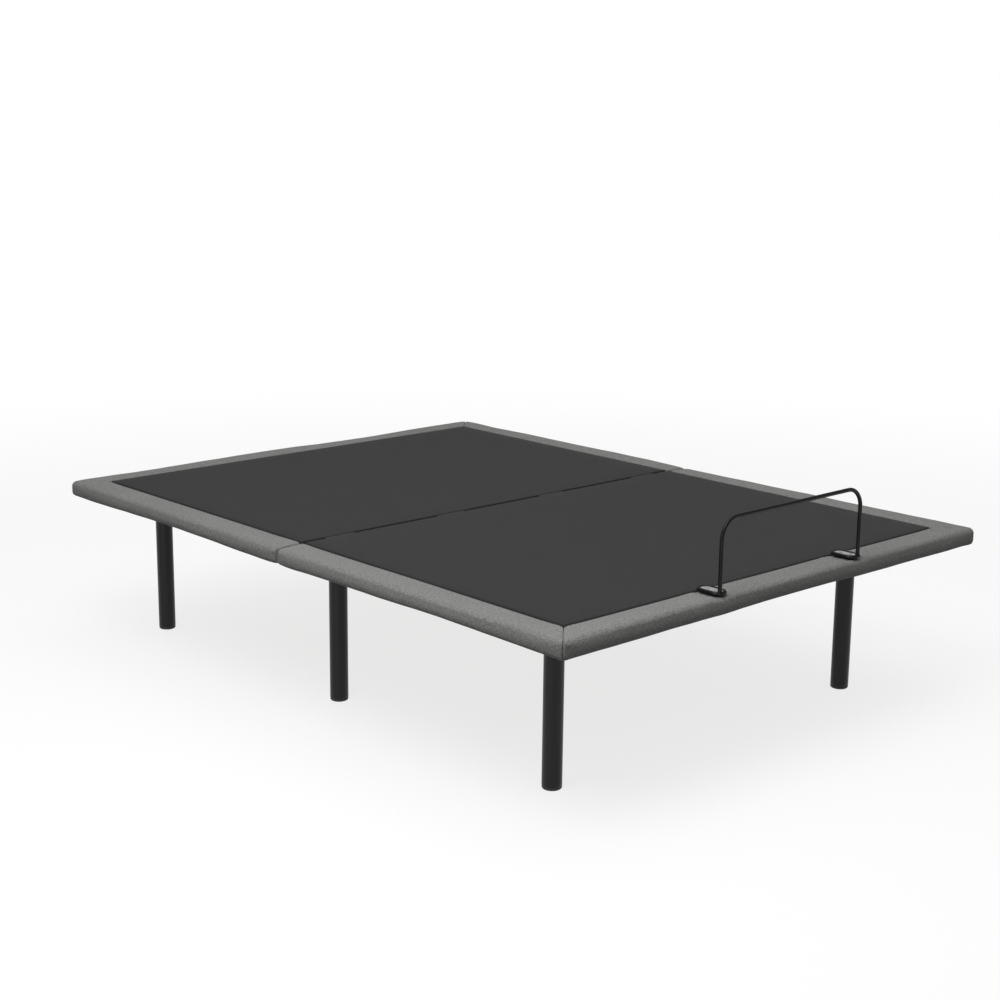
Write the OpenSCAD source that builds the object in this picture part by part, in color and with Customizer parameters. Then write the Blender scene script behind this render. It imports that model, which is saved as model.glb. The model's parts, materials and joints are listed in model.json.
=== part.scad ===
// Adjustable bed base with a lifting head half.
// Frame: X across the bed, +Y toward the head end, Z up, origin on the floor below the centre.

/* [Deck] */
// Width over the padded border
bed_w = 1524; // [1372:1:1930]
// Length over the padded border
bed_l = 2032; // [1905:1:2134]
// Height of the border's top above the floor
deck_z = 457; // [430:1:520]
// Width of the padded border seen from above
border_w = 85; // [75:1:110]
// Depth of the padded border
border_h = 41; // [38:1:60]
// Plan radius of the border's outer corners
corner_r = 18; // [12:1:30]
// Thickness of the plywood boards
board_t = 18; // [12:1:20]
// Gap across the deck between the foot half and the head half
split_gap = 12; // [12:1:20]

/* [Chassis] */
// Distance from the centre line to each row of legs
leg_x = 540; // [400:1:600]
// Leg diameter
leg_d = 48; // [40:1:60]
// Wall thickness of the steel tubes
wall = 2; // [1.5:0.5:3]
// Width of the main side tubes
side_tube_w = 40; // [30:1:60]
// Height of the main side tubes
side_tube_h = 45; // [30:1:60]

/* [Retainer bar] */
// Distance between the centres of the two uprights
bar_w = 512; // [400:1:700]
// Height of the top run above the border
bar_h = 178; // [120:1:220]
// Rod diameter
bar_d = 10; // [8:0.5:14]
// Bend radius at the top corners
bar_bend = 50; // [30:1:70]

/* [Lift] */
// Distance from the deck hinge to the crank pin at rest
lever_r = 120; // [110:1:130]
// Angle of the lever toward the foot end at rest
lever_rest = 25; // [20:1:30]
// Crank pin diameter
pin_d = 12; // [10:1:14]

/* [Hidden] */
$fn = 48;

// Colours
fabric_dark = [0.16, 0.16, 0.17];
fabric_grey = [0.50, 0.50, 0.49];
plywood = [0.72, 0.58, 0.40];
timber = [0.78, 0.66, 0.48];
frame_black = [0.09, 0.09, 0.09];
plastic_black = [0.12, 0.12, 0.13];
zinc = [0.70, 0.71, 0.72];

// Levels, from the deck down
half_w = bed_w / 2;
half_l = bed_l / 2;
deck_bottom = deck_z - border_h;
board_top = deck_bottom + board_t;
pad_top = deck_z - 2;
half_gap = split_gap / 2;
bearer = 25;
bearer_bottom = deck_bottom - bearer;
side_bottom = bearer_bottom - side_tube_h;
bumper_t = 5;
frame_foot = -half_l + 176;
frame_head = half_l - 86;
bearer_foot = -half_l + 116;
bearer_start = 25;

// Border section: foam of this thickness round a timber rail
foam = 12;
inner_x = half_w - border_w;
inner_y = half_l - border_w;
edge_r = 12;
lower_r = 7;

// Cross tubes of the chassis, by the Y of their centres
cross_w = 40;
cross_h = 25;
foot_cross_y = -half_l + 216;
motor_cross_y = -480;
center_cross_y = 220;
head_cross_y = half_l - 136;

// Legs, by the Y of each row
leg_foot_y = -half_l + 251;
leg_center_y = 35;
leg_head_y = half_l - 146;
leg_rows = [leg_foot_y, leg_center_y, leg_head_y];
glide_h = 8;
leg_cap_t = 4;
stud_r = 5;
stud_grip = 14;

// Deck hinges in the split
hinge_z = deck_z - 8;
hinge_w = 90;
knuckles = 5;
knuckle_r = 5.5;
hinge_pin_r = 2.5;
running = 0.05;
leaf_t = 2.5;
leaf_drop = 31;
leaf_notch = 7;
hinge_xs = [for (s = [-1.5, -0.5, 0.5, 1.5]) s * 0.245 * bed_w];
screw_r = 2;
screw_l = 20;

// Actuator, from its rear pivot to the crank pin
pivot_y = -430;
pivot_z = hinge_z - 90;
pin_y = -lever_r * sin(lever_rest);
pin_z = hinge_z - lever_r * cos(lever_rest);
act_len = norm([pin_y - pivot_y, pin_z - pivot_z]);
act_angle = atan2(pin_z - pivot_z, pin_y - pivot_y);
rear_pin_r = 5;
rod_r = 10;
tube_r = 19;
tube_bore_r = 15;
housing_start = 24;
housing_end = 104;
tube_end = act_len - 52;
motor_drop = 50;
motor_r = 29;
motor_l = 132;
eye_w = 22;
plate_gap = 2;
plate_t = 5;
plate_x = eye_w / 2 + plate_gap;
slot_r = pin_d / 2 + 2.25;
slot_in = 14;
slot_out = 6;
screw_shaft_r = 6;

// Retainer bar
rod_z = deck_z + bar_d / 2;
bar_y = -half_l + 13;
foot_plate_lift = 5;
foot_plate_t = 3;
loop_w = 34;
loop_l = 66;
loop_shift = 8;

// ---------------------------------------------------------------- helpers

// A box between two corners
module span(low, high) {
  translate(low) cube(high - low);
}

// Rectangular tube along Y, from its lowest corner
module tube_y(low, width, length, height) {
  difference() {
    translate(low) cube([width, length, height]);
    translate(low + [wall, -1, wall]) cube([width - 2 * wall, length + 2, height - 2 * wall]);
  }
}

// Rectangular tube along X, from its lowest corner
module tube_x(low, length, depth, height) {
  difference() {
    translate(low) cube([length, depth, height]);
    translate(low + [-1, wall, wall]) cube([length + 2, depth - 2 * wall, height - 2 * wall]);
  }
}

// Cylinder along X, centred on x = 0
module rod_x(r, length) {
  rotate([0, 90, 0]) cylinder(r = r, h = length, center = true);
}

// Places its children in the actuator's own frame: +Y runs from the rear pivot to the crank pin
module along_actuator() {
  translate([0, pivot_y, pivot_z]) rotate([act_angle, 0, 0]) children();
}

// Cylinder along the actuator's axis
module act_cylinder(r, start, end) {
  translate([0, start, 0]) rotate([-90, 0, 0]) cylinder(r = r, h = end - start);
}

// Copies its children to the other side of the bed as well
module both_sides() {
  children();
  mirror([1, 0, 0]) children();
}

// ---------------------------------------------------------------- border

// Outline of the border, x outward from its inner edge and y up from its underside
module border_outline() {
  inner_r = 9;
  union() {
    translate([0, 0]) square([border_w - lower_r, border_h - edge_r]);
    translate([0, lower_r]) square([border_w, border_h - edge_r - lower_r]);
    translate([inner_r, border_h - edge_r]) square([border_w - edge_r - inner_r, edge_r]);
    translate([0, border_h - edge_r]) square([inner_r, edge_r - inner_r]);
    translate([inner_r, border_h - inner_r]) circle(r = inner_r);
    translate([border_w - edge_r, border_h - edge_r]) circle(r = edge_r);
    translate([border_w - lower_r, lower_r]) circle(r = lower_r);
  }
}

// Section of the timber rail inside the border
module rail_outline() {
  translate([foam, 0]) square([border_w - 2 * foam, border_h - foam]);
}

// Foam and fabric round the rail, open below and seated on the board's edge
module cover_outline() {
  difference() {
    border_outline();
    rail_outline();
    translate([-1, -1]) square([foam + 1, board_t + 1]);
  }
}

// Extrudes a border section along the +X side of the bed, from y = start to y = end
module along_side(start, end) {
  translate([inner_x, end, deck_bottom]) rotate([90, 0, 0]) linear_extrude(end - start) children();
}

// Extrudes a border section across the head end of the bed
module along_end() {
  translate([-half_w, inner_y, deck_bottom]) rotate([90, 0, 90]) linear_extrude(bed_w) children();
}

// Plan of the head half with mitred corners taken off, for the side rails
module side_plan(start) {
  linear_extrude(deck_z + 10)
    polygon([[0, start], [half_w, start], [half_w, half_l], [0, half_l - half_w]]);
}

// Plan of the end rail, between the two mitres
module end_plan() {
  linear_extrude(deck_z + 10) polygon([[-half_w, half_l], [half_w, half_l], [0, half_l - half_w]]);
}

// Plan of the whole bed with rounded corners
module rounded_plan() {
  linear_extrude(deck_z + 10) {
    square([bed_w - 2 * corner_r, bed_l], center = true);
    square([bed_w, bed_l - 2 * corner_r], center = true);
    for (x = [-1, 1], y = [-1, 1])
      translate([x * (half_w - corner_r), y * (half_l - corner_r)]) circle(r = corner_r);
  }
}

// One side cover of the head half, on the +X side
module side_cover() {
  intersection() {
    along_side(half_gap, half_l) cover_outline();
    side_plan(half_gap);
    rounded_plan();
  }
}

// One side rail of the head half, on the +X side
module side_rail() {
  intersection() {
    along_side(half_gap, half_l) rail_outline();
    side_plan(half_gap);
  }
}

// The cover across the head end
module end_cover() {
  intersection() {
    along_end() cover_outline();
    end_plan();
    rounded_plan();
  }
}

// The rail across the head end
module end_rail() {
  intersection() {
    along_end() rail_outline();
    end_plan();
  }
}

module head_border_right() { color(fabric_grey) side_cover(); }
module head_border_left() { color(fabric_grey) mirror([1, 0, 0]) side_cover(); }
module head_border_end() { color(fabric_grey) end_cover(); }
module foot_border_right() { color(fabric_grey) mirror([0, 1, 0]) side_cover(); }
module foot_border_left() { color(fabric_grey) rotate([0, 0, 180]) side_cover(); }
module foot_border_end() {
  color(fabric_grey) difference() {
    mirror([0, 1, 0]) end_cover();
    retainer_screw_places() cylinder(r = screw_r, h = 2 * border_h, center = true);
  }
}

module head_rail_right() { color(timber) side_rail(); }
module head_rail_left() { color(timber) mirror([1, 0, 0]) side_rail(); }
module head_rail_end() { color(timber) end_rail(); }
module foot_rail_right() { color(timber) mirror([0, 1, 0]) side_rail(); }
module foot_rail_left() { color(timber) rotate([0, 0, 180]) side_rail(); }
module foot_rail_end() {
  color(timber) difference() {
    mirror([0, 1, 0]) end_rail();
    retainer_screw_places() cylinder(r = screw_r, h = 2 * border_h, center = true);
  }
}

// ---------------------------------------------------------------- boards and pads

// Plywood board of the head half, drilled for the hinge screws
module deck_board() {
  difference() {
    span([-inner_x - foam, half_gap, deck_bottom], [inner_x + foam, inner_y + foam, board_top]);
    hinge_screw_places() rotate([-90, 0, 0]) cylinder(r = screw_r, h = screw_l);
  }
}

// Thin upholstered pad on the board
module deck_pad() {
  span([-inner_x, half_gap, board_top], [inner_x, inner_y, pad_top]);
}

module head_deck_board() { color(plywood) deck_board(); }
module foot_deck_board() { color(plywood) mirror([0, 1, 0]) deck_board(); }
module head_deck_pad() { color(fabric_dark) deck_pad(); }
module foot_deck_pad() { color(fabric_dark) mirror([0, 1, 0]) deck_pad(); }

// ---------------------------------------------------------------- deck hinges

// Start and end of knuckle i along X, with a little end play
knuckle_l = hinge_w / knuckles;
end_play = 0.3;

// Vertical leaf on the head board's end face, with the knuckles of the given parity.
// A leaf that carries the pin tightly has no running clearance
module hinge_leaf(parity, clearance) {
  difference() {
    union() {
      span([-hinge_w / 2, half_gap - leaf_t, hinge_z - leaf_drop],
           [hinge_w / 2, half_gap, hinge_z - leaf_notch]);
      for (i = [parity : 2 : knuckles - 1]) translate([-hinge_w / 2 + i * knuckle_l, 0, 0]) {
        span([end_play, half_gap - leaf_t, hinge_z - leaf_notch - 1],
             [knuckle_l - end_play, half_gap, hinge_z]);
        translate([knuckle_l / 2, 0, hinge_z]) rod_x(knuckle_r, knuckle_l - 2 * end_play);
      }
    }
    translate([0, 0, hinge_z]) rod_x(hinge_pin_r + clearance, hinge_w + 2);
    for (x = [-1, 0, 1]) translate([x * 0.36 * hinge_w, 0, hinge_z - leaf_drop + 9])
      rotate([-90, 0, 0]) cylinder(r = screw_r, h = split_gap);
  }
}

// Where the leaf screws enter the head board
module hinge_screw_places() {
  for (h = hinge_xs, x = [-1, 0, 1])
    translate([h + x * 0.36 * hinge_w, half_gap, hinge_z - leaf_drop + 9]) children();
}

// Pan-head screw along +Y, with its head on the leaf
module hinge_screw() {
  rotate([-90, 0, 0]) {
    translate([0, 0, -leaf_t]) cylinder(r = screw_r, h = leaf_t + screw_l);
    translate([0, 0, -leaf_t - 1.6]) cylinder(r = 2 * screw_r, h = 1.6);
  }
}

module hinge_leaves_head() {
  color(frame_black) for (x = hinge_xs) translate([x, 0, 0]) hinge_leaf(1, running);
}
module hinge_leaves_foot() {
  color(frame_black) for (x = hinge_xs) translate([x, 0, 0]) mirror([0, 1, 0]) hinge_leaf(0, 0);
}
module hinge_pins() {
  color(zinc) for (x = hinge_xs) translate([x, 0, hinge_z]) rod_x(hinge_pin_r, hinge_w);
}
module hinge_screws_head() { color(zinc) hinge_screw_places() hinge_screw(); }
module hinge_screws_foot() { color(zinc) mirror([0, 1, 0]) hinge_screw_places() hinge_screw(); }

// ---------------------------------------------------------------- chassis

side_in = leg_x - side_tube_w / 2;
side_out = leg_x + side_tube_w / 2;

// Main tube under the +X side, drilled for the leg studs
module side_tube() {
  difference() {
    tube_y([side_in, frame_foot, side_bottom], side_tube_w, frame_head - frame_foot, side_tube_h);
    for (y = leg_rows) translate([leg_x, y, side_bottom - 1]) cylinder(r = stud_r, h = wall + 2);
  }
}
module side_tube_right() { color(frame_black) side_tube(); }
module side_tube_left() { color(frame_black) mirror([1, 0, 0]) side_tube(); }

// Cross tube between the side tubes, centred on y
module cross_tube(y) {
  color(frame_black)
    tube_x([-side_in, y - cross_w / 2, side_bottom + (side_tube_h - cross_h) / 2], 2 * side_in, cross_w, cross_h);
}
module cross_tube_foot() { cross_tube(foot_cross_y); }
module cross_tube_motor() { cross_tube(motor_cross_y); }
module cross_tube_center() { cross_tube(center_cross_y); }
module cross_tube_head() { cross_tube(head_cross_y); }

// Plastic plug in the head end of a side tube: a flange outside and a spigot inside
module tube_end_cap() {
  translate([0, 0, side_bottom]) {
    span([side_in, 0, 0], [side_out, 3, side_tube_h]);
    span([side_in + wall, -18, wall], [side_out - wall, 0, side_tube_h - wall]);
  }
}
module tube_end_caps() {
  color(plastic_black) both_sides() {
    translate([0, frame_head, 0]) tube_end_cap();
    translate([0, frame_foot, 0]) mirror([0, 1, 0]) tube_end_cap();
  }
}

// Round tubular leg with a welded cap on top, drilled for its stud
module leg(side, y) {
  color(frame_black) translate([side * leg_x, y, 0]) difference() {
    translate([0, 0, glide_h]) cylinder(d = leg_d, h = side_bottom - glide_h);
    translate([0, 0, glide_h - 1]) cylinder(r = leg_d / 2 - wall, h = side_bottom - glide_h - leg_cap_t + 1);
    cylinder(r = stud_r, h = side_bottom + 1);
  }
}
module leg_foot_left() { leg(-1, leg_foot_y); }
module leg_foot_right() { leg(1, leg_foot_y); }
module leg_center_left() { leg(-1, leg_center_y); }
module leg_center_right() { leg(1, leg_center_y); }
module leg_head_left() { leg(-1, leg_head_y); }
module leg_head_right() { leg(1, leg_head_y); }

// Places its children on the axis of every leg
module every_leg() {
  for (side = [-1, 1], y = leg_rows) translate([side * leg_x, y, 0]) children();
}

// Rounded foot plug pressed into the bottom of a leg
module leg_glides() {
  edge = 4;
  color(plastic_black) every_leg() {
    rotate_extrude() union() {
      square([leg_d / 2 - edge, glide_h]);
      translate([0, edge]) square([leg_d / 2, glide_h - edge]);
      translate([leg_d / 2 - edge, edge]) circle(r = edge);
      square([leg_d / 2 - wall, glide_h + 22]);
    }
  }
}

// Threaded stud that joins a leg to the side tube
module leg_studs() {
  color(zinc) every_leg() {
    translate([0, 0, side_bottom - leg_cap_t]) cylinder(r = stud_r, h = stud_grip);
    translate([0, 0, side_bottom - leg_cap_t - 7]) cylinder(r = 2 * stud_r, h = 7, $fn = 6);
    translate([0, 0, side_bottom + wall]) cylinder(r = 2 * stud_r, h = 7, $fn = 6);
  }
}

// Rubber pads on the side tubes where the head frame comes to rest
module rest_bumpers() {
  color(plastic_black) both_sides() for (y = [0.2, 0.8])
    translate([leg_x, y * frame_head, bearer_bottom]) cylinder(r = 11, h = bumper_t);
}

// ---------------------------------------------------------------- deck frames

// Bearer under the foot board, on the +X side
module foot_bearer() {
  tube_y([leg_x - bearer / 2, bearer_foot, bearer_bottom], bearer, -bearer_foot - bearer_start, bearer);
}
module foot_bearer_right() { color(frame_black) foot_bearer(); }
module foot_bearer_left() { color(frame_black) mirror([1, 0, 0]) foot_bearer(); }
module foot_cross_bearers() {
  color(frame_black) for (y = [-72, bearer_foot + 20])
    tube_x([bearer / 2 - leg_x, y, bearer_bottom], 2 * leg_x - bearer, bearer, bearer);
}

// The lifting frame is shallower than the fixed one by the thickness of its rest pads
lift_h = bearer - bumper_t;
lift_z = bearer_bottom + bumper_t;
lift_y = 30;
lift_w = 30;
middle_y = 450;

module head_bearer() {
  tube_y([leg_x - bearer / 2, bearer_start, lift_z], bearer, frame_head - bearer_start, lift_h);
}
module head_bearer_right() { color(frame_black) head_bearer(); }
module head_bearer_left() { color(frame_black) mirror([1, 0, 0]) head_bearer(); }

// Tube next to the hinge line, between the head bearers
module lift_tube() {
  color(frame_black) tube_x([bearer / 2 - leg_x, lift_y, lift_z], 2 * leg_x - bearer, lift_w, lift_h);
}
module head_cross_tubes() {
  color(frame_black) for (y = [middle_y, half_l - 148])
    tube_x([bearer / 2 - leg_x, y, lift_z], 2 * leg_x - bearer, bearer, lift_h);
}

// Spine tube that carries the lever between the lift tube and the next cross tube
module lever_spine() {
  color(frame_black)
    tube_y([-plate_x, lift_y + lift_w, lift_z], 2 * plate_x, middle_y - lift_y - lift_w, lift_h);
}

// The lever's own frame: u runs from the hinge through the crank pin, v across it toward the head.
// This gives the [u, v] of a point at [y, z] on the bed
function lever_uv(y, z) = [
  -y * sin(lever_rest) - (z - hinge_z) * cos(lever_rest),
  y * cos(lever_rest) - (z - hinge_z) * sin(lever_rest)
];

// Outline with round ends, along u from start to end
module round_bar(start, end, r) {
  translate([start, 0]) circle(r = r);
  translate([end, 0]) circle(r = r);
  translate([start, -r]) square([end - start, 2 * r]);
}

// Side view of one lever plate, drawn in its own frame
module lever_outline() {
  rim = 11;
  weld_end = lift_y + lift_w + 110;
  slot_start = lever_r - slot_in;
  slot_end = lever_r + slot_out;
  difference() {
    union() {
      polygon([
        lever_uv(lift_y + lift_w, lift_z + lift_h), lever_uv(weld_end, lift_z + lift_h),
        lever_uv(weld_end, lift_z), [slot_end + 4, slot_r + rim - 3],
        [slot_start - 4, -slot_r - rim + 3], lever_uv(lift_y, lift_z), lever_uv(lift_y + lift_w, lift_z)
      ]);
      round_bar(slot_start, slot_end, slot_r + rim);
    }
    round_bar(slot_start, slot_end, slot_r);
  }
}

// The two lever plates, welded to the sides of the spine
module lever_plates() {
  color(frame_black) both_sides() translate([plate_x, 0, hinge_z])
    rotate([270 - lever_rest, 0, 0]) rotate([90, 0, 90]) linear_extrude(plate_t) lever_outline();
}

// ---------------------------------------------------------------- actuator

// Bracket on the motor cross tube that holds the rear pin
module actuator_bracket() {
  face = motor_cross_y + cross_w / 2;
  color(frame_black) difference() {
    both_sides() translate([plate_x, 0, 0]) {
      span([0, face, pivot_z - 18], [plate_t, pivot_y, pivot_z + 18]);
      translate([plate_t / 2, pivot_y, pivot_z]) rod_x(18, plate_t);
    }
    translate([0, pivot_y, pivot_z]) rod_x(rear_pin_r, 4 * plate_x);
  }
}

module actuator_rear_pin() {
  reach = plate_x + plate_t;
  color(zinc) translate([0, pivot_y, pivot_z]) {
    rod_x(rear_pin_r, 2 * reach);
    for (s = [-1, 1]) translate([s * (reach + 1.5), 0, 0]) rod_x(rear_pin_r + 4, 3);
  }
}

// Plastic housing of the gear train, with the rear eye
module gear_housing() {
  half = 33;
  color(plastic_black) along_actuator() difference() {
    union() {
      span([-eye_w / 2, 0, -13], [eye_w / 2, housing_start + 1, 13]);
      rod_x(13, eye_w);
      span([-half, housing_start, -motor_drop - motor_r + 3], [half, housing_end, 27]);
    }
    rod_x(rear_pin_r + running, 4 * plate_x);
    act_cylinder(screw_shaft_r + 0.1, housing_end - 22, housing_end + 1);
    for (s = [-1, 1]) translate([s * half, 0, 0]) {
      span([-6, housing_start - 1, 18], [6, housing_end + 1, 28]);
      span([-6, housing_start - 1, -motor_drop - motor_r - 1], [6, housing_end + 1, -motor_drop - motor_r + 12]);
    }
  }
}

// Motor, parallel to the tube and below it
module motor_can() {
  color(zinc) along_actuator() translate([0, 0, -motor_drop]) {
    act_cylinder(motor_r, housing_end, housing_end + motor_l - 8);
    act_cylinder(motor_r - 6, housing_end + motor_l - 8, housing_end + motor_l);
  }
}

// Outer tube with its front bush
module actuator_tube() {
  bush_l = 24;
  color(zinc) along_actuator() difference() {
    union() {
      act_cylinder(tube_r, housing_end, tube_end);
      act_cylinder(tube_r + 3, tube_end - bush_l, tube_end);
    }
    act_cylinder(tube_bore_r, housing_end - 1, tube_end - 12);
    act_cylinder(rod_r + running, housing_end, tube_end + 1);
  }
}

// Control box clipped to the side of the housing and the tube
box_w = 46;
box_x = -33 - box_w;
box_start = housing_start + 8;
box_end = housing_end + 96;
module control_box() {
  inset = 5;
  color(plastic_black) along_actuator() difference() {
    union() {
      span([box_x, box_start, -58], [-33, box_end, 24]);
      span([-33, housing_end + 6, -10], [-tube_r - 3, box_end - 20, 10]);
    }
    span([box_x - 1, box_start - 1, 24 - inset], [box_x + inset, box_end + 1, 25]);
    span([box_x - 1, box_start - 1, -59], [box_x + inset, box_end + 1, -58 + inset]);
    translate([box_x + box_w / 2, box_end - 12, -17]) rotate([-90, 0, 0]) cylinder(r = 9, h = 13);
  }
}

// Socket for the mains adapter, in the front face of the control box
module power_inlet() {
  color(plastic_black) along_actuator() translate([box_x + box_w / 2, box_end - 12, -17])
    rotate([-90, 0, 0]) difference() {
      union() {
        cylinder(r = 9, h = 12);
        translate([0, 0, 12]) cylinder(r = 11, h = 3);
      }
      translate([0, 0, 3]) cylinder(r = 5.5, h = 13);
      translate([0, 0, 2]) cylinder(r = 1.2, h = 1);
    }
}

// Motor lead, clipped between the motor's end and the control box
module motor_lead() {
  lead_r = 3;
  bend = 12;
  y_end = housing_end + motor_l;
  color(plastic_black) along_actuator() translate([0, 0, -motor_drop]) {
    act_cylinder(lead_r, y_end, y_end + 14);
    translate([-bend, y_end + 14, 0]) rotate_extrude(angle = 90) translate([bend, 0]) circle(r = lead_r);
    translate([-bend, y_end + 14 + bend, 0]) rotate([0, -90, 0])
      cylinder(r = lead_r, h = -box_x - box_w / 2 - 2 * bend);
    translate([box_x + box_w / 2 + bend, y_end + 14, 0]) rotate([0, 0, 90])
      rotate_extrude(angle = 90) translate([bend, 0]) circle(r = lead_r);
    translate([box_x + box_w / 2, 0, 0]) act_cylinder(lead_r, box_end, y_end + 14);
  }
}

// Steel rod with its eye, hollow for the lead screw
module actuator_rod() {
  start = housing_end + 24;
  color(zinc) along_actuator() difference() {
    union() {
      act_cylinder(rod_r, start, act_len - 10);
      act_cylinder(tube_bore_r - running, start, start + 16);
      translate([0, act_len, 0]) rod_x(14, eye_w);
    }
    act_cylinder(screw_shaft_r + 0.5, start - 1, act_len - 24);
    translate([0, act_len, 0]) rod_x(pin_d / 2, eye_w + 2);
  }
}

// Pin through the rod's eye and both lever slots, with a clip at each end
module crank_pin() {
  reach = plate_x + plate_t + 1;
  color(zinc) along_actuator() translate([0, act_len, 0]) {
    rod_x(pin_d / 2, 2 * reach);
    for (s = [-1, 1]) translate([s * (reach + 1), 0, 0]) rod_x(slot_r + 3, 2);
  }
}

// Lead screw from the gear train into the hollow rod
module lead_screw() {
  color(zinc) along_actuator() act_cylinder(screw_shaft_r, housing_end - 20, act_len - 40);
}

// ---------------------------------------------------------------- retainer bar

// Quarter bend of the rod in the XZ plane, from straight up to straight across
module bar_corner() {
  rotate([90, 0, 0]) rotate_extrude(angle = 90) translate([bar_bend, 0]) circle(d = bar_d);
}

// Closed flat loop that lies on the border, its front run through the origin
module bar_loop() {
  r = loop_w / 2;
  for (x = [-r, r]) translate([x, r, 0]) rotate([-90, 0, 0]) cylinder(d = bar_d, h = loop_l - 2 * r);
  for (a = [0, 180]) translate([0, a == 0 ? loop_l - r : r, 0]) rotate([0, 0, a])
    rotate_extrude(angle = 180) translate([r, 0]) circle(d = bar_d);
}

// One half of the bar, on the +X side
module half_bar() {
  top = deck_z + bar_h;
  x = bar_w / 2;
  translate([x, bar_y, rod_z]) cylinder(d = bar_d, h = top - bar_bend - rod_z);
  translate([x - bar_bend, bar_y, top - bar_bend]) bar_corner();
  translate([-0.01, bar_y, top]) rotate([0, 90, 0]) cylinder(d = bar_d, h = x - bar_bend + 0.01);
  translate([x - loop_shift, bar_y - loop_lead, rod_z]) bar_loop();
}
// The loop's front reaches past the upright's foot by this much
loop_lead = loop_w / 2 - sqrt(pow(loop_w / 2, 2) - pow(loop_shift, 2));

module retainer_bar() {
  color(frame_black) both_sides() half_bar();
}

// Steel plate welded inside each loop, at the height where the rod leaves the least room
module retainer_foot_plates() {
  plate_gap = bar_d / 2 + 0.1;
  color(zinc) both_sides()
  translate([bar_w / 2 - loop_shift, bar_y - loop_lead, deck_z + foot_plate_lift]) difference() {
    linear_extrude(foot_plate_t) difference() {
      union() {
        r = loop_w / 2 - plate_gap;
        translate([0, loop_w / 2]) circle(r = r);
        translate([0, loop_l - loop_w / 2]) circle(r = r);
        translate([-r, loop_w / 2]) square([2 * r, loop_l - loop_w]);
      }
      for (y = [0.3, 0.7]) translate([0, y * loop_l]) circle(r = screw_r);
    }
  }
}

// Where the foot plates are screwed down
module retainer_screw_places() {
  both_sides() for (y = [0.3, 0.7])
    translate([bar_w / 2 - loop_shift, bar_y - loop_lead + y * loop_l, deck_z]) children();
}

module retainer_screws() {
  head_z = foot_plate_lift + foot_plate_t;
  color(zinc) retainer_screw_places() {
    translate([0, 0, -30]) cylinder(r = screw_r, h = 30 + head_z);
    translate([0, 0, head_z]) cylinder(r = 2.2 * screw_r, h = 1.8);
  }
}

// ---------------------------------------------------------------- nodes

side_tube_left();
side_tube_right();
cross_tube_foot();
cross_tube_motor();
cross_tube_center();
cross_tube_head();
tube_end_caps();
leg_foot_left();
leg_foot_right();
leg_center_left();
leg_center_right();
leg_head_left();
leg_head_right();
leg_glides();
leg_studs();
rest_bumpers();
foot_bearer_left();
foot_bearer_right();
foot_cross_bearers();
foot_deck_board();
foot_deck_pad();
foot_rail_left();
foot_rail_right();
foot_rail_end();
foot_border_left();
foot_border_right();
foot_border_end();
hinge_leaves_foot();
hinge_pins();
hinge_screws_foot();
retainer_bar();
retainer_foot_plates();
retainer_screws();
actuator_bracket();
actuator_rear_pin();
head_deck_board();
head_deck_pad();
head_rail_left();
head_rail_right();
head_rail_end();
head_border_left();
head_border_right();
head_border_end();
head_bearer_left();
head_bearer_right();
lift_tube();
head_cross_tubes();
lever_spine();
lever_plates();
hinge_leaves_head();
hinge_screws_head();
gear_housing();
motor_can();
actuator_tube();
control_box();
power_inlet();
motor_lead();
actuator_rod();
crank_pin();
lead_screw();
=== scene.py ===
"""Looks of an adjustable bed base with a lifting head half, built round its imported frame.

The frame gives every place and most sizes, in metres: X across the bed, +Y toward the head end, Z up.
Each sub-assembly is a class whose methods draw its meshes and dress them. Each finish is a frozen
dataclass that builds one material.
"""

import json
import logging
import math
from collections.abc import Callable, Iterable, Sequence
from dataclasses import dataclass, field
from enum import Enum

import bmesh
import bpy
import numpy as np
from mathutils import Matrix, Vector, noise


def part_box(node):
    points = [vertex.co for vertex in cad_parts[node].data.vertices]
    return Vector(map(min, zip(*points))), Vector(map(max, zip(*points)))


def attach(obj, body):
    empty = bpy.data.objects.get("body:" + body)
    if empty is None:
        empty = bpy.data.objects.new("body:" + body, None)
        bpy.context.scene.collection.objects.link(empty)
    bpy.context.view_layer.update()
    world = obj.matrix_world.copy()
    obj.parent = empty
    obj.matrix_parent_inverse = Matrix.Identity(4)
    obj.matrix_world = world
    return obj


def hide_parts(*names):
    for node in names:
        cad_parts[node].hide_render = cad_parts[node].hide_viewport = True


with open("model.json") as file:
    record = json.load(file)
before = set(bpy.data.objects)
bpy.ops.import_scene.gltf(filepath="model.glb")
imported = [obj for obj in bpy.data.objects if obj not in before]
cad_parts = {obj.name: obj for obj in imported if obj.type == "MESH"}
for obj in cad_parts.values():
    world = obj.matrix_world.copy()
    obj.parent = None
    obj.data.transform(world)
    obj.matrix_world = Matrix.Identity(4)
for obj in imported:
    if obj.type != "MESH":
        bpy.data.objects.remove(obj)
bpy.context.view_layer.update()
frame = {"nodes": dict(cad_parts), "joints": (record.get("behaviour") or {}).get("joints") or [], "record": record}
LOG = logging.getLogger("bed_base")
MM = 0.001
Point2 = tuple[float, float]
Colour = tuple[float, float, float]
Socket = bpy.types.NodeSocket
MERGE = 1e-6
SLIVER = 1e-7
HALVES = (("head", 1), ("foot", -1))


# ------------------------------------------------------------------ shader boards


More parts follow.
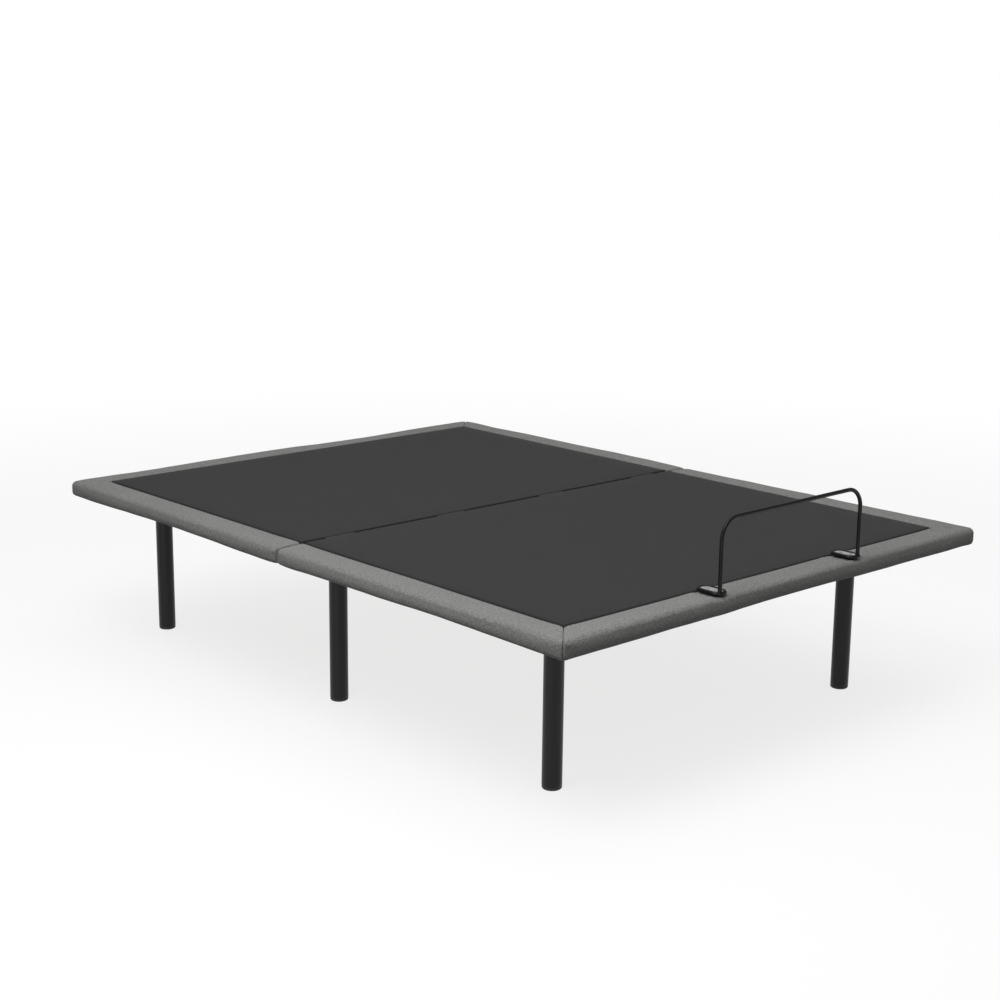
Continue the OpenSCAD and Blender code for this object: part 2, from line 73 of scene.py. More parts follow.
class Board:
    """Places shader nodes in one tree and links them."""

    def __init__(self, tree: bpy.types.NodeTree) -> None:
        """Starts on a tree.

        Args:
            tree: the material's or group's node tree.
        """
        self.tree = tree
        self.column = 0

    def add(self, kind: str, sockets: dict | None = None, **settings: object) -> bpy.types.Node:
        """Adds a node.

        Args:
            kind: the node's type, without its ShaderNode prefix.
            sockets: what goes into each input, by name or index: another socket, or a plain value.
            settings: properties of the node itself.

        Returns:
            The new node.
        """
        node = self.tree.nodes.new("ShaderNode" + kind)
        self.column += 1
        node.location = (180 * self.column, 0)
        for name, value in settings.items():
            setattr(node, name, value)
        for key, value in (sockets or {}).items():
            if isinstance(value, Socket):
                self.link(value, node.inputs[key])
            else:
                node.inputs[key].default_value = value
        return node

    def link(self, source: Socket, target: Socket) -> None:
        """Links an output socket to an input socket."""
        self.tree.links.new(source, target)

    def math(self, operation: str, *values: Socket | float) -> Socket:
        """Adds a Math node and returns its result.

        Args:
            operation: the Math node's operation.
            values: its inputs, in order.

        Returns:
            The output socket.
        """
        return self.add("Math", dict(enumerate(values)), operation=operation).outputs[0]

    def ramp(self, value: Socket, low: float, high: float) -> Socket:
        """Maps low..high to 0..1 with soft ends.

        Args:
            value: the socket to map.
            low: the value that gives 0.
            high: the value that gives 1.

        Returns:
            The output socket.
        """
        sockets = {"Value": value, "From Min": low, "From Max": high}
        return self.add("MapRange", sockets, interpolation_type="SMOOTHSTEP").outputs["Result"]

    def between(self, factor: Socket, low: Socket | float, high: Socket | float) -> Socket:
        """Returns a value that goes from low to high as factor goes from 0 to 1."""
        return self.add("Mix", {0: factor, 2: low, 3: high}, data_type="FLOAT").outputs[0]

    def tint(self, factor: Socket, first: Colour | Socket, second: Colour | Socket) -> Socket:
        """Mixes two colours.

        Args:
            factor: 0 for the first colour, 1 for the second.
            first: a colour or a colour socket.
            second: a colour or a colour socket.

        Returns:
            The mixed colour's socket.
        """
        ends = [c if isinstance(c, Socket) else (*c, 1.0) for c in (first, second)]
        node = self.add("Mix", {0: factor, 6: ends[0], 7: ends[1]}, data_type="RGBA")
        return node.outputs[2]

    def noise(
        self, vector: Socket, scale: float | Socket, detail: float = 2.0, rough: float = 0.5
    ) -> Socket:
        """Adds a noise texture and returns its value."""
        sockets = {"Vector": vector, "Scale": scale, "Detail": detail, "Roughness": rough}
        return self.add("TexNoise", sockets).outputs[0]


class Effect(Enum):
    """Shader effects that several finishes share, each built once as a node group."""

    WEAVE = "plain weave"
    WEAR = "edge wear"
    SMUDGE = "smudges and dust"
    PEEL = "fine surface grain"
    GRAIN = "wood grain"


def start_group(
    name: str, inputs: dict[str, float | None], outputs: Iterable[str]
) -> tuple[Board, dict[str, Socket], dict[str, Socket]]:
    """Makes an empty node group.

    Args:
        name: the group's name.
        inputs: each input's default value; None makes it a vector.
        outputs: names of the value outputs.

    Returns:
        The group's board, its input sockets by name and its output sockets by name.
    """
    tree = bpy.data.node_groups.new(name, "ShaderNodeTree")
    for key, default in inputs.items():
        kind = "NodeSocketVector" if default is None else "NodeSocketFloat"
        made = tree.interface.new_socket(name=key, in_out="INPUT", socket_type=kind)
        if default is not None:
            made.default_value = default
    for key in outputs:
        tree.interface.new_socket(name=key, in_out="OUTPUT", socket_type="NodeSocketFloat")
    board = Board(tree)
    inlet = tree.nodes.new("NodeGroupInput")
    outlet = tree.nodes.new("NodeGroupOutput")
    return board, {s.name: s for s in inlet.outputs if s.name}, {s.name: s for s in outlet.inputs if s.name}


def build_weave() -> None:
    """Plain weave that follows whichever way the surface faces.

    It gives the yarns' height, and a tone for each length of yarn.
    """
    wander_scale, wander = 45.0, 0.8
    stretch, tone_scale = 0.22, 0.9
    inputs = {"Vector": None, "Pitch": 1.5 * MM}
    board, inlet, outlet = start_group(Effect.WEAVE.value, inputs, ["Height", "Tone"])
    place = board.add("SeparateXYZ", {0: inlet["Vector"]}).outputs
    facing = board.add("VectorMath", {0: board.add("TexCoord").outputs["Normal"]}, operation="ABSOLUTE")
    face = board.add("SeparateXYZ", {0: facing.outputs[0]}).outputs
    up = board.math("GREATER_THAN", face[2], board.math("MAXIMUM", face[0], face[1]))
    side = board.math("GREATER_THAN", face[0], face[1])
    across = board.between(up, board.between(side, place[0], place[1]), place[0])
    along = board.between(up, place[2], place[1])
    drift = board.math("MULTIPLY", board.noise(inlet["Vector"], wander_scale), wander)
    u = board.math("ADD", board.math("DIVIDE", across, inlet["Pitch"]), drift)
    v = board.math("ADD", board.math("DIVIDE", along, inlet["Pitch"]), drift)
    cells = board.math("ADD", board.math("FLOOR", u), board.math("FLOOR", v))
    over = board.math("ABSOLUTE", board.math("MODULO", cells, 2.0))
    warp = board.math("ABSOLUTE", board.math("SINE", board.math("MULTIPLY", u, math.pi)))
    weft = board.math("ABSOLUTE", board.math("SINE", board.math("MULTIPLY", v, math.pi)))
    board.link(board.between(over, weft, warp), outlet["Height"])
    long_u = board.add("CombineXYZ", {0: board.math("MULTIPLY", u, stretch), 1: v}).outputs[0]
    long_v = board.add("CombineXYZ", {0: u, 1: board.math("MULTIPLY", v, stretch)}).outputs[0]
    tones = [board.noise(yarn, tone_scale, 1.0) for yarn in (long_u, long_v)]
    board.link(board.ramp(board.between(over, *tones), 0.34, 0.66), outlet["Tone"])


def build_wear() -> None:
    """Mask of rubbed convex edges, broken up by noise."""
    chip_scale = 160.0
    board, inlet, outlet = start_group(Effect.WEAR.value, {"Vector": None, "Amount": 0.5}, ["Mask"])
    edge = board.ramp(board.add("NewGeometry").outputs["Pointiness"], 0.52, 0.60)
    broken = board.ramp(board.noise(inlet["Vector"], chip_scale, 4.0, 0.65), 0.42, 0.62)
    mask = board.math("MULTIPLY", board.math("MULTIPLY", edge, broken), inlet["Amount"])
    board.link(mask, outlet["Mask"])


def build_smudge() -> None:
    """Soft blotches of handling and dust, at two sizes."""
    finer, broad_share, fine_share = 9.0, 0.7, 0.3
    board, inlet, outlet = start_group(Effect.SMUDGE.value, {"Vector": None, "Scale": 6.0}, ["Mask"])
    broad = board.noise(inlet["Vector"], inlet["Scale"], 3.0, 0.55)
    fine = board.noise(inlet["Vector"], board.math("MULTIPLY", inlet["Scale"], finer), 2.0)
    weighed = [board.math("MULTIPLY", *pair) for pair in ((broad, broad_share), (fine, fine_share))]
    both = board.math("ADD", *weighed)
    board.link(board.ramp(both, 0.3, 0.7), outlet["Mask"])


def build_peel() -> None:
    """Fine rounded grain, as on powder coat and moulded plastic."""
    coarser, cell_share = 0.4, 0.6
    board, inlet, outlet = start_group(Effect.PEEL.value, {"Vector": None, "Scale": 900.0}, ["Height"])
    sockets = {"Vector": inlet["Vector"], "Scale": inlet["Scale"]}
    cells = board.add("TexVoronoi", sockets, feature="SMOOTH_F1")
    soft = board.noise(inlet["Vector"], board.math("MULTIPLY", inlet["Scale"], coarser), 2.0)
    height = board.math("ADD", board.math("MULTIPLY", cells.outputs["Distance"], cell_share), soft)
    board.link(height, outlet["Height"])


def build_grain() -> None:
    """Wood figure that runs along X: growth rings, pores and a slow change of tone."""
    ring_scale, rings_across, pore_scale = 7.0, 55.0, 420.0
    inputs = {"Vector": None, "Stretch": 12.0}
    board, inlet, outlet = start_group(Effect.GRAIN.value, inputs, ["Rings", "Pores"])
    slow = board.math("DIVIDE", 1.0, inlet["Stretch"])
    shape = board.add("CombineXYZ", {0: slow, 1: 1.0, 2: 1.0}).outputs[0]
    laid = board.add("VectorMath", {0: inlet["Vector"], 1: shape}, operation="MULTIPLY").outputs[0]
    warped = board.noise(laid, ring_scale, 3.0)
    rings = board.math("SINE", board.math("MULTIPLY", warped, rings_across))
    board.link(board.ramp(rings, -0.9, 1.0), outlet["Rings"])
    pores = board.noise(laid, pore_scale, 2.0, 0.7)
    board.link(board.ramp(pores, 0.52, 0.72), outlet["Pores"])


BUILDERS: dict[Effect, Callable[[], None]] = {
    Effect.WEAVE: build_weave,
    Effect.WEAR: build_wear,
    Effect.SMUDGE: build_smudge,
    Effect.PEEL: build_peel,
    Effect.GRAIN: build_grain,
}


def place_effect(board: Board, effect: Effect, **sockets: Socket | float) -> bpy.types.NodeOutputs:
    """Puts a shared effect in a material, and builds its group the first time.

    Args:
        board: the material's board.
        effect: which effect.
        sockets: its inputs by name.

    Returns:
        The group node's outputs.
    """
    if effect.value not in bpy.data.node_groups:
        BUILDERS[effect]()
    node = board.tree.nodes.new("ShaderNodeGroup")
    node.node_tree = bpy.data.node_groups[effect.value]
    for name, value in sockets.items():
        if isinstance(value, Socket):
            board.link(value, node.inputs[name])
        else:
            node.inputs[name].default_value = value
    return node.outputs


# ------------------------------------------------------------------ finishes


@dataclass(frozen=True)
class Finish:
    """One finish of the object. Subclasses add their pattern in paint()."""

    name: str
    roughness: float = 0.5

    def material(self) -> bpy.types.Material:
        """Returns the finish's material, building it the first time."""
        if self.name in bpy.data.materials:
            return bpy.data.materials[self.name]
        made = bpy.data.materials.new(self.name)
        made.use_nodes = True
        made.node_tree.nodes.clear()
        board = Board(made.node_tree)
        shader = board.add("BsdfPrincipled", {"Roughness": self.roughness})
        board.add("OutputMaterial", {"Surface": shader.outputs[0]})
        self.paint(board, shader, board.add("TexCoord").outputs["Object"])
        return made

    def paint(self, board: Board, shader: bpy.types.Node, place: Socket) -> None:
        """Adds the pattern. The plain finish has none."""

    def bump(
        self, board: Board, shader: bpy.types.Node, height: Socket, strength: float, depth: float
    ) -> None:
        """Feeds a height to the shader's normal.

        Args:
            board: the material's board.
            shader: the Principled shader.
            height: the height socket.
            strength: the bump's strength.
            depth: its depth, in metres.
        """
        sockets = {"Height": height, "Strength": strength, "Distance": depth}
        board.link(board.add("Bump", sockets).outputs[0], shader.inputs["Normal"])

    def vary(
        self, board: Board, shader: bpy.types.Node, marks: Socket, least: float, most: float
    ) -> None:
        """Varies the roughness with a mask.

        Args:
            board: the material's board.
            shader: the Principled shader.
            marks: the mask.
            least: the share of the finish's roughness where the mask is 0.
            most: its share where the mask is 1.
        """
        low, high = least * self.roughness, min(most * self.roughness, 1.0)
        board.link(board.between(marks, low, high), shader.inputs["Roughness"])


@dataclass(frozen=True)
class WovenCloth(Finish):
    """Woven upholstery cloth with yarns of two tones."""

    dark: Colour = (0.1, 0.1, 0.1)
    light: Colour = (0.2, 0.2, 0.2)
    pitch: float = 1.5 * MM
    relief: float = 0.5
    sheen: float = 0.12

    def paint(self, board: Board, shader: bpy.types.Node, place: Socket) -> None:
        """Adds yarns, a slow random change of tone, painted shade in the weave's valleys and the weave's relief.
        """
        yarn = place_effect(board, Effect.WEAVE, Vector=place, Pitch=self.pitch)
        shade = place_effect(board, Effect.SMUDGE, Vector=place, Scale=5.0)["Mask"]
        yarns = board.tint(yarn["Tone"], self.dark, self.light)
        # Painted shade: the colour darkens in the weave's valleys and lightens on the yarn tops, following the
        # yarns' height.
        valley_shade = board.between(yarn["Height"], 0.72, 1.08)
        slow = board.math("MULTIPLY", board.between(shade, 0.95, 1.05), valley_shade)
        lit = board.add("VectorMath", {0: yarns, 3: slow}, operation="SCALE").outputs[0]
        board.link(lit, shader.inputs["Base Color"])
        board.link(board.between(yarn["Height"], 0.95, 0.82), shader.inputs["Roughness"])
        shader.inputs["Sheen Weight"].default_value = self.sheen
        shader.inputs["Sheen Roughness"].default_value = 0.45
        shader.inputs["Specular IOR Level"].default_value = 0.25
        self.bump(board, shader, yarn["Height"], self.relief, 0.35 * self.pitch)


@dataclass(frozen=True)
class Enamel(Finish):
    """Powder coat or enamel on steel, rubbed a little at its edges."""

    colour: Colour = (0.02, 0.02, 0.02)
    rubbed: Colour = (0.10, 0.10, 0.105)
    wear: float = 0.45
    peel: float = 0.12
    shine: float = 0.5

    def paint(self, board: Board, shader: bpy.types.Node, place: Socket) -> None:
        """Adds worn edges, handling marks and the coat's orange peel."""
        shader.inputs["Specular IOR Level"].default_value = self.shine
        worn = place_effect(board, Effect.WEAR, Vector=place, Amount=self.wear)["Mask"]
        marks = place_effect(board, Effect.SMUDGE, Vector=place, Scale=9.0)["Mask"]
        board.link(board.tint(worn, self.colour, self.rubbed), shader.inputs["Base Color"])
        self.vary(board, shader, marks, 0.88, 1.15)
        height = place_effect(board, Effect.PEEL, Vector=place, Scale=700.0)["Height"]
        self.bump(board, shader, height, self.peel, 0.3 * MM)


@dataclass(frozen=True)
class BareMetal(Finish):
    """Plated, brushed or polished metal."""

    colour: Colour = (0.6, 0.6, 0.61)
    dull: Colour = (0.42, 0.42, 0.43)
    relief: float = 0.06

    def paint(self, board: Board, shader: bpy.types.Node, place: Socket) -> None:
        """Adds dull patches and fine scratches."""
        shader.inputs["Metallic"].default_value = 1.0
        patches = place_effect(board, Effect.SMUDGE, Vector=place, Scale=40.0)["Mask"]
        board.link(board.tint(patches, self.colour, self.dull), shader.inputs["Base Color"])
        self.vary(board, shader, patches, 0.8, 1.3)
        height = place_effect(board, Effect.PEEL, Vector=place, Scale=1500.0)["Height"]
        self.bump(board, shader, height, self.relief, 0.15 * MM)


@dataclass(frozen=True)
class Moulded(Finish):
    """Moulded plastic or rubber with a fine spark-eroded texture."""

    colour: Colour = (0.03, 0.03, 0.03)
    pale: Colour = (0.06, 0.06, 0.06)
    texture: float = 0.25
    scale: float = 800.0

    def paint(self, board: Board, shader: bpy.types.Node, place: Socket) -> None:
        """Adds whitened edges, dust and the mould's texture."""
        worn = place_effect(board, Effect.WEAR, Vector=place, Amount=0.5)["Mask"]
        dust = place_effect(board, Effect.SMUDGE, Vector=place, Scale=12.0)["Mask"]
        mask = board.math("ADD", worn, board.math("MULTIPLY", dust, 0.25))
        board.link(board.tint(mask, self.colour, self.pale), shader.inputs["Base Color"])
        self.vary(board, shader, dust, 0.9, 1.15)
        height = place_effect(board, Effect.PEEL, Vector=place, Scale=self.scale)["Height"]
        self.bump(board, shader, height, self.texture, 0.25 * MM)


@dataclass(frozen=True)
class Timber(Finish):
    """Plain timber, or plywood when it has plies. Its ends near the split are painted black as painted shade for
    the gap between the halves.
    """

    early: Colour = (0.62, 0.46, 0.28)
    late: Colour = (0.45, 0.30, 0.16)
    ply: float = 0.0
    # Painted shade: how far from the split the ends turn near-black, and that black, standing in for the gap's
    # shadow.
    split_shade_reach: float = 6.6 * MM
    black: Colour = (0.012, 0.012, 0.012)

    def paint(self, board: Board, shader: bpy.types.Node, place: Socket) -> None:
        """Adds the figure, the pores, plywood's plies and painted shade on the ends in the split."""
        grain = place_effect(board, Effect.GRAIN, Vector=place, Stretch=12.0)
        stain = place_effect(board, Effect.SMUDGE, Vector=place, Scale=4.0)["Mask"]
        figure = board.math("MULTIPLY", grain["Rings"], board.between(stain, 0.25, 0.6))
        face = board.tint(figure, self.early, self.late)
        deep = tuple(0.6 * c for c in self.late)
        face = board.tint(board.math("MULTIPLY", grain["Pores"], 0.5), face, deep)
        if self.ply:
            level = board.add("SeparateXYZ", {0: place}).outputs[2]
            layer = board.math("SINE", board.math("MULTIPLY", level, math.pi / self.ply))
            edge = board.tint(board.ramp(layer, -0.25, 0.25), self.early, self.late)
            normal = board.add("SeparateXYZ", {0: board.add("TexCoord").outputs["Normal"]}).outputs[2]
            flat = board.ramp(board.math("ABSOLUTE", normal), 0.4, 0.7)
            face = board.tint(flat, edge, face)
        # Painted shade: faces within a few millimetres of the split turn near-black, as the shadow in the gap
        # would.
        off_split = board.math("ABSOLUTE", board.add("SeparateXYZ", {0: place}).outputs[1])
        plain = board.ramp(off_split, self.split_shade_reach, self.split_shade_reach + 0.4 * MM)
        face = board.tint(plain, self.black, face)
        board.link(face, shader.inputs["Base Color"])
        board.link(board.between(grain["Pores"], 0.62, 0.8), shader.inputs["Roughness"])
        self.bump(board, shader, grain["Pores"], 0.25, -0.3 * MM)


BORDER_CLOTH = WovenCloth(
    "heathered grey upholstery",
    dark=(0.128, 0.128, 0.124),
    light=(0.268, 0.268, 0.261),
    pitch=1.6 * MM,
)
DECK_CLOTH = WovenCloth(
    "charcoal deck cloth",
    dark=(0.0100, 0.0100, 0.0108),
    light=(0.0200, 0.0200, 0.0214),
    pitch=1.2 * MM,
    relief=0.4,
)
PLYWOOD = Timber("plywood", ply=1.5 * MM)
SOFTWOOD = Timber("planed softwood", early=(0.66, 0.52, 0.33), late=(0.52, 0.36, 0.19))
FRAME_COAT = Enamel("black powder coat", roughness=0.42, colour=(0.012, 0.012, 0.0125))
LEG_COAT = Enamel(
    "satin black leg enamel", roughness=0.32, colour=(0.007, 0.007, 0.007), wear=0.3, shine=0.28
)
BAR_COAT = Enamel(
    "satin black bar enamel", roughness=0.3, colour=(0.004, 0.004, 0.004), wear=0.2, shine=0.2
)
ZINC = BareMetal("zinc plate", roughness=0.34, colour=(0.58, 0.59, 0.60), dull=(0.44, 0.44, 0.44))
SATIN_STEEL = BareMetal(
    "satin steel", roughness=0.48, colour=(0.74, 0.74, 0.73), dull=(0.55, 0.55, 0.54)
)
BLACK_PLASTIC = Moulded("black moulded plastic", roughness=0.55)
BLACK_RUBBER = Moulded(
    "black rubber", roughness=0.85, colour=(0.02, 0.02, 0.02), pale=(0.05, 0.05, 0.05)
)
HOUSING_PLASTIC = Moulded(
    "dark grey housing plastic", roughness=0.5, colour=(0.045, 0.046, 0.05), scale=600.0
)
MOTOR_COAT = Enamel("motor enamel", roughness=0.35, colour=(0.035, 0.035, 0.037))
LEAD_JACKET = Moulded(
    "cable jacket", roughness=0.45, colour=(0.018, 0.018, 0.018), texture=0.08
)
ANODISED = BareMetal(
    "clear anodised aluminium", roughness=0.36, colour=(0.60, 0.60, 0.61), dull=(0.52, 0.52, 0.53)
)
CHROME = BareMetal(
    "ground and chromed steel", roughness=0.12, colour=(0.72, 0.72, 0.73), dull=(0.60, 0.60, 0.61)
)

SLOT_FINISH: dict[str, Finish] = {
    "border_fabric": BORDER_CLOTH,
    "deck_fabric": DECK_CLOTH,
    "plywood": PLYWOOD,
    "timber": SOFTWOOD,
    "frame_enamel": FRAME_COAT,
    "leg_enamel": LEG_COAT,
    "bar_enamel": BAR_COAT,
    "zinc_hardware": ZINC,
    "satin_steel": SATIN_STEEL,
    "black_plastic": BLACK_PLASTIC,
    "black_rubber": BLACK_RUBBER,
    "actuator_plastic": HOUSING_PLASTIC,
    "motor_enamel": MOTOR_COAT,
    "lead_jacket": LEAD_JACKET,
    "aluminium_tube": ANODISED,
    "chromed_steel": CHROME,
}
NODE_SLOT: dict[str, str] = {s["node"]: s["material_slot"] for s in frame["record"]["subparts"]}


# ------------------------------------------------------------------ mesh drawing


def arc_steps(count: int) -> list[float]:
    """Returns the angles of a quarter turn in equal steps, both ends included."""
    return [0.5 * math.pi * i / count for i in range(count + 1)]


def full_turn(count: int) -> list[float]:
    """Returns the angles of a full turn in equal steps, starting from 0."""
    return [2 * math.pi * k / count for k in range(count)]


def in_mm(*points: Point2) -> list[Point2]:
    """Returns points that are given in millimetres, in metres."""
    return [(a * MM, b * MM) for a, b in points]


def around(radius: float, *points: Point2, base: float = 0.0) -> list[Point2]:
    """Turns offsets in millimetres into points of a lathe profile.

    Args:
        radius: the radius that the first offset is added to.
        points: offsets outward and upward.
        base: the height that the second offset is added to.

    Returns:
        The profile's points, in metres.
    """
    return [(radius + a * MM, base + z * MM) for a, z in points]


def clamp(value: float, low: float = 0.0, high: float = 1.0) -> float:
    """Keeps a value between two ends."""
    return min(high, max(low, value))


def bell(distance: float, reach: float) -> float:
    """Returns a smooth hump: 1 where distance is 0, and little past twice the reach."""
    return math.exp(-((distance / reach) ** 2))


def axis_of(low: Vector, high: Vector, level: float = 0.0) -> Matrix:
    """Places something on the upright axis of a box.

    Args:
        low: the box's lowest corner.
        high: its highest corner.
        level: the height that it stands at.

    Returns:
        The move there.
    """
    return Matrix.Translation(((low.x + high.x) / 2, (low.y + high.y) / 2, level))


def rounded_outline(
    corners: Sequence[tuple[float, float, float]], steps: int, spacing: float = 0.0
) -> list[Point2]:
    """Outline of a shape with square corners, each rounded.

    Args:
        corners: x, y and radius of each corner, anticlockwise.
        steps: facets in each rounded corner.
        spacing: longest straight stretch without a point, or 0 for no extra points.

    Returns:
        The outline's points, anticlockwise.
    """
    found: list[Vector] = []
    for i, (x, y, radius) in enumerate(corners):
        here = Vector((x, y))
        arrive = (here - Vector(corners[i - 1][:2])).normalized()
        leave = (Vector(corners[(i + 1) % len(corners)][:2]) - here).normalized()
        middle = here - radius * arrive + radius * leave
        for a in arc_steps(steps):
            found.append(middle + radius * (arrive * math.sin(a) - leave * math.cos(a)))
    if not spacing:
        return [tuple(p) for p in found]
    filled: list[Vector] = []
    for i, point in enumerate(found):
        step = found[(i + 1) % len(found)] - point
        parts = max(1, round(step.length / spacing))
        filled += [point + step * (k / parts) for k in range(parts)]
    return [tuple(p) for p in filled]


@dataclass
class Shape:
    """A mesh being drawn: its points, and its faces with the number of the finish on each."""

    points: list[Vector] = field(default_factory=list)
    faces: list[tuple[int, ...]] = field(default_factory=list)
    paints: list[int] = field(default_factory=list)

    def add(
        self,
        points: Iterable[Vector],
        faces: Iterable[Sequence[int]],
        paint: int = 0,
        place: Matrix | None = None,
    ) -> None:
        """Adds points and faces.

        Args:
            points: the new points.
            faces: faces over them, numbered from 0.
            paint: the faces' finish number.
            place: moves the points first.
        """
        start = len(self.points)
        self.points += [place @ Vector(p) if place else Vector(p) for p in points]
        for face in faces:
            self.faces.append(tuple(start + i for i in face))
            self.paints.append(paint)

    def loft(
        self,
        rings: Sequence[Sequence[Vector]],
        paint: int = 0,
        place: Matrix | None = None,
        looped: bool = False,
        fan: bool = False,
    ) -> None:
        """Skins closed rings that all have the same number of points.

        Args:
            rings: the rings, in order.
            paint: the faces' finish number.
            place: moves the points first.
            looped: joins the last ring to the first; otherwise both ends are closed.
            fan: closes the ends with a fan of triangles round a middle point.
        """
        size = len(rings[0])
        points = [p for ring in rings for p in ring]
        faces: list[tuple[int, ...]] = []
        for r in range(len(rings) if looped else len(rings) - 1):
            a, b = r * size, ((r + 1) % len(rings)) * size
            faces += [(a + i, a + (i + 1) % size, b + (i + 1) % size, b + i) for i in range(size)]
        for start in () if looped else (0, (len(rings) - 1) * size):
            if fan:
                middle = sum((Vector(p) for p in points[start:start + size]), Vector()) / size
                tip = len(points)
                points.append(middle)
                faces += [(start + i, start + (i + 1) % size, tip) for i in range(size)]
            else:
                faces.append(tuple(range(start, start + size)))
        self.add(points, faces, paint, place)

    def lathe(
        self,
        profile: Sequence[Point2],
        place: Matrix,
        sides: int = 40,
        paint: int = 0,
        looped: bool = False,
    ) -> None:
        """Turns a profile of (radius, height) about Z.

        Args:
            profile: the profile's points.
            place: puts the turned shape where it belongs.
            sides: facets round the axis.
            paint: the faces' finish number.
            looped: the profile closes on itself, as a ring's does.
        """
        turns = full_turn(sides)
        rings = [[Vector((r * math.cos(a), r * math.sin(a), z)) for a in turns] for r, z in profile]
        self.loft(rings, paint, place, looped)

    def sweep(
        self,
        path: Sequence[Vector],
        radius: float | Sequence[float],
        sides: int = 12,
        looped: bool = False,
    ) -> None:
        """Draws a round rod along a path.

        Args:
            path: the points of its centre line.
            radius: its radius, or one radius for each point.
            sides: facets round it.
            looped: the path closes on itself.
        """
        count = len(path)
        radii = [radius] * count if isinstance(radius, (int, float)) else list(radius)
        rings = []
        normal: Vector | None = None
        for i, here in enumerate(path):
            before = path[i - 1] if looped or i else here
            after = path[(i + 1) % count] if looped or i < count - 1 else here
            ahead = (after - before).normalized()
            if normal is None:
                normal = ahead.orthogonal().normalized()
            normal = (normal - ahead * normal.dot(ahead)).normalized()
            cross = ahead.cross(normal)
            turns = [math.cos(a) * normal + math.sin(a) * cross for a in full_turn(sides)]
            rings.append([here + radii[i] * out for out in turns])
        self.loft(rings, looped=looped)

    def block(
        self,
        low: Sequence[float],
        high: Sequence[float],
        radius: float,
        paint: int = 0,
        place: Matrix | None = None,
        segments: int = 3,
    ) -> None:
        """Adds a box with rounded edges.

        Args:
            low: its lowest corner.
            high: its highest corner.
            radius: the edges' radius.
            paint: the faces' finish number.
            place: moves it afterwards.
            segments: facets in each rounded edge.
        """
        drawn = bmesh.new()
        size = Vector(high) - Vector(low)
        bmesh.ops.create_cube(drawn, size=1.0)
        bmesh.ops.scale(drawn, vec=size, verts=drawn.verts)
        bmesh.ops.translate(drawn, vec=Vector(low) + size / 2, verts=drawn.verts)
        bmesh.ops.bevel(
            drawn, geom=drawn.edges, offset=radius, segments=segments, profile=0.5, affect="EDGES"
        )
        drawn.verts.index_update()
        points = [v.co.copy() for v in drawn.verts]
        self.add(points, [[v.index for v in f.verts] for f in drawn.faces], paint, place)
        drawn.free()

    def piece(
        self,
        name: str,
        body: str,
        slot: str,
        finishes: Sequence[Finish] = (),
        replaced: Sequence[str] = (),
        sharp: float = 40.0,
    ) -> bpy.types.Object:
        """Makes the drawn mesh a piece of the object.

        Args:
            name: the piece's name.
            body: the body it rides on.
            slot: the record's material slot that it takes its finish from.
            finishes: its finishes, by number; the slot's own one if left out.
            replaced: the frame's nodes that it stands for.
            sharp: edges that turn more than this stay sharp, in degrees.

        Returns:
            The new object.
        """
        mesh = bpy.data.meshes.new(name)
        mesh.from_pydata([tuple(p) for p in self.points], [], self.faces)
        mesh.polygons.foreach_set("material_index", self.paints)
        for finish in finishes or [SLOT_FINISH[slot]]:
            mesh.materials.append(finish.material())
        tidy = bmesh.new()
        tidy.from_mesh(mesh)
        bmesh.ops.remove_doubles(tidy, verts=tidy.verts, dist=SLIVER)
        bmesh.ops.dissolve_degenerate(tidy, edges=tidy.edges, dist=SLIVER)
        bmesh.ops.recalc_face_normals(tidy, faces=tidy.faces)
        tidy.to_mesh(mesh)
        tidy.free()
        mesh.shade_smooth()
        mesh.set_sharp_from_angle(angle=math.radians(sharp))
        made = bpy.data.objects.new(name, mesh)
        bpy.context.scene.collection.objects.link(made)
        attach(made, body)
        if replaced:
            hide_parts(*replaced)
        LOG.info("%s: %d faces on %s", name, len(mesh.polygons), body)
        return made


def solids_of(node: str) -> list[tuple[Vector, Vector]]:
    """Finds the separate solids of a frame node.

    Args:
        node: the node's name.

    Returns:
        The lowest and highest corner of each solid, in order of place.
    """
    drawn = bmesh.new()
    drawn.from_mesh(frame["nodes"][node].data)
    bmesh.ops.remove_doubles(drawn, verts=drawn.verts, dist=MERGE)
    left = set(drawn.verts)
    found = []
    while left:
        seed = left.pop()
        group, todo = {seed}, [seed]
        while todo:
            for edge in todo.pop().link_edges:
                fresh = [v for v in edge.verts if v not in group]
                group.update(fresh)
                todo += fresh
        left -= group
        places = np.array([v.co for v in group])
        found.append((Vector(places.min(axis=0)), Vector(places.max(axis=0))))
    drawn.free()
    return sorted(found, key=lambda box: tuple(box[0]))


def body_of(node: str) -> str:
    """Returns the body that a frame node belongs to."""
    return next(b for b, names in frame["record"]["behaviour"]["bodies"].items() if node in names)


# ------------------------------------------------------------------ upholstery


@dataclass(frozen=True)
class DeckPlan:
    """Sizes of the deck, read from the frame."""

    half_w: float
    half_l: float
    top: float
    bottom: float
    border: float
    half_gap: float
    corner: float = 18 * MM

    @classmethod
    def from_frame(cls) -> "DeckPlan":
        """Reads the plan from the frame's border nodes."""
        side_low, side_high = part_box("head_border_right")
        return cls(
            half_w=side_high.x,
            half_l=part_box("head_border_end")[1].y,
            top=side_high.z,
            bottom=side_low.z,
            border=side_high.x - side_low.x,
            half_gap=side_low.y,
        )

    @property
    def inner_w(self) -> float:
        """Half the width inside the border."""
        return self.half_w - self.border

    @property
    def inner_l(self) -> float:
        """Half the length inside the border."""
        return self.half_l - self.border


@dataclass(frozen=True)
class Swell:
    """How the cloth of a padded piece is blown up over its foam."""

    pressure: float = 4.0
    most: float = 4 * MM
    frames: int = 20
    stiffness: float = 15.0


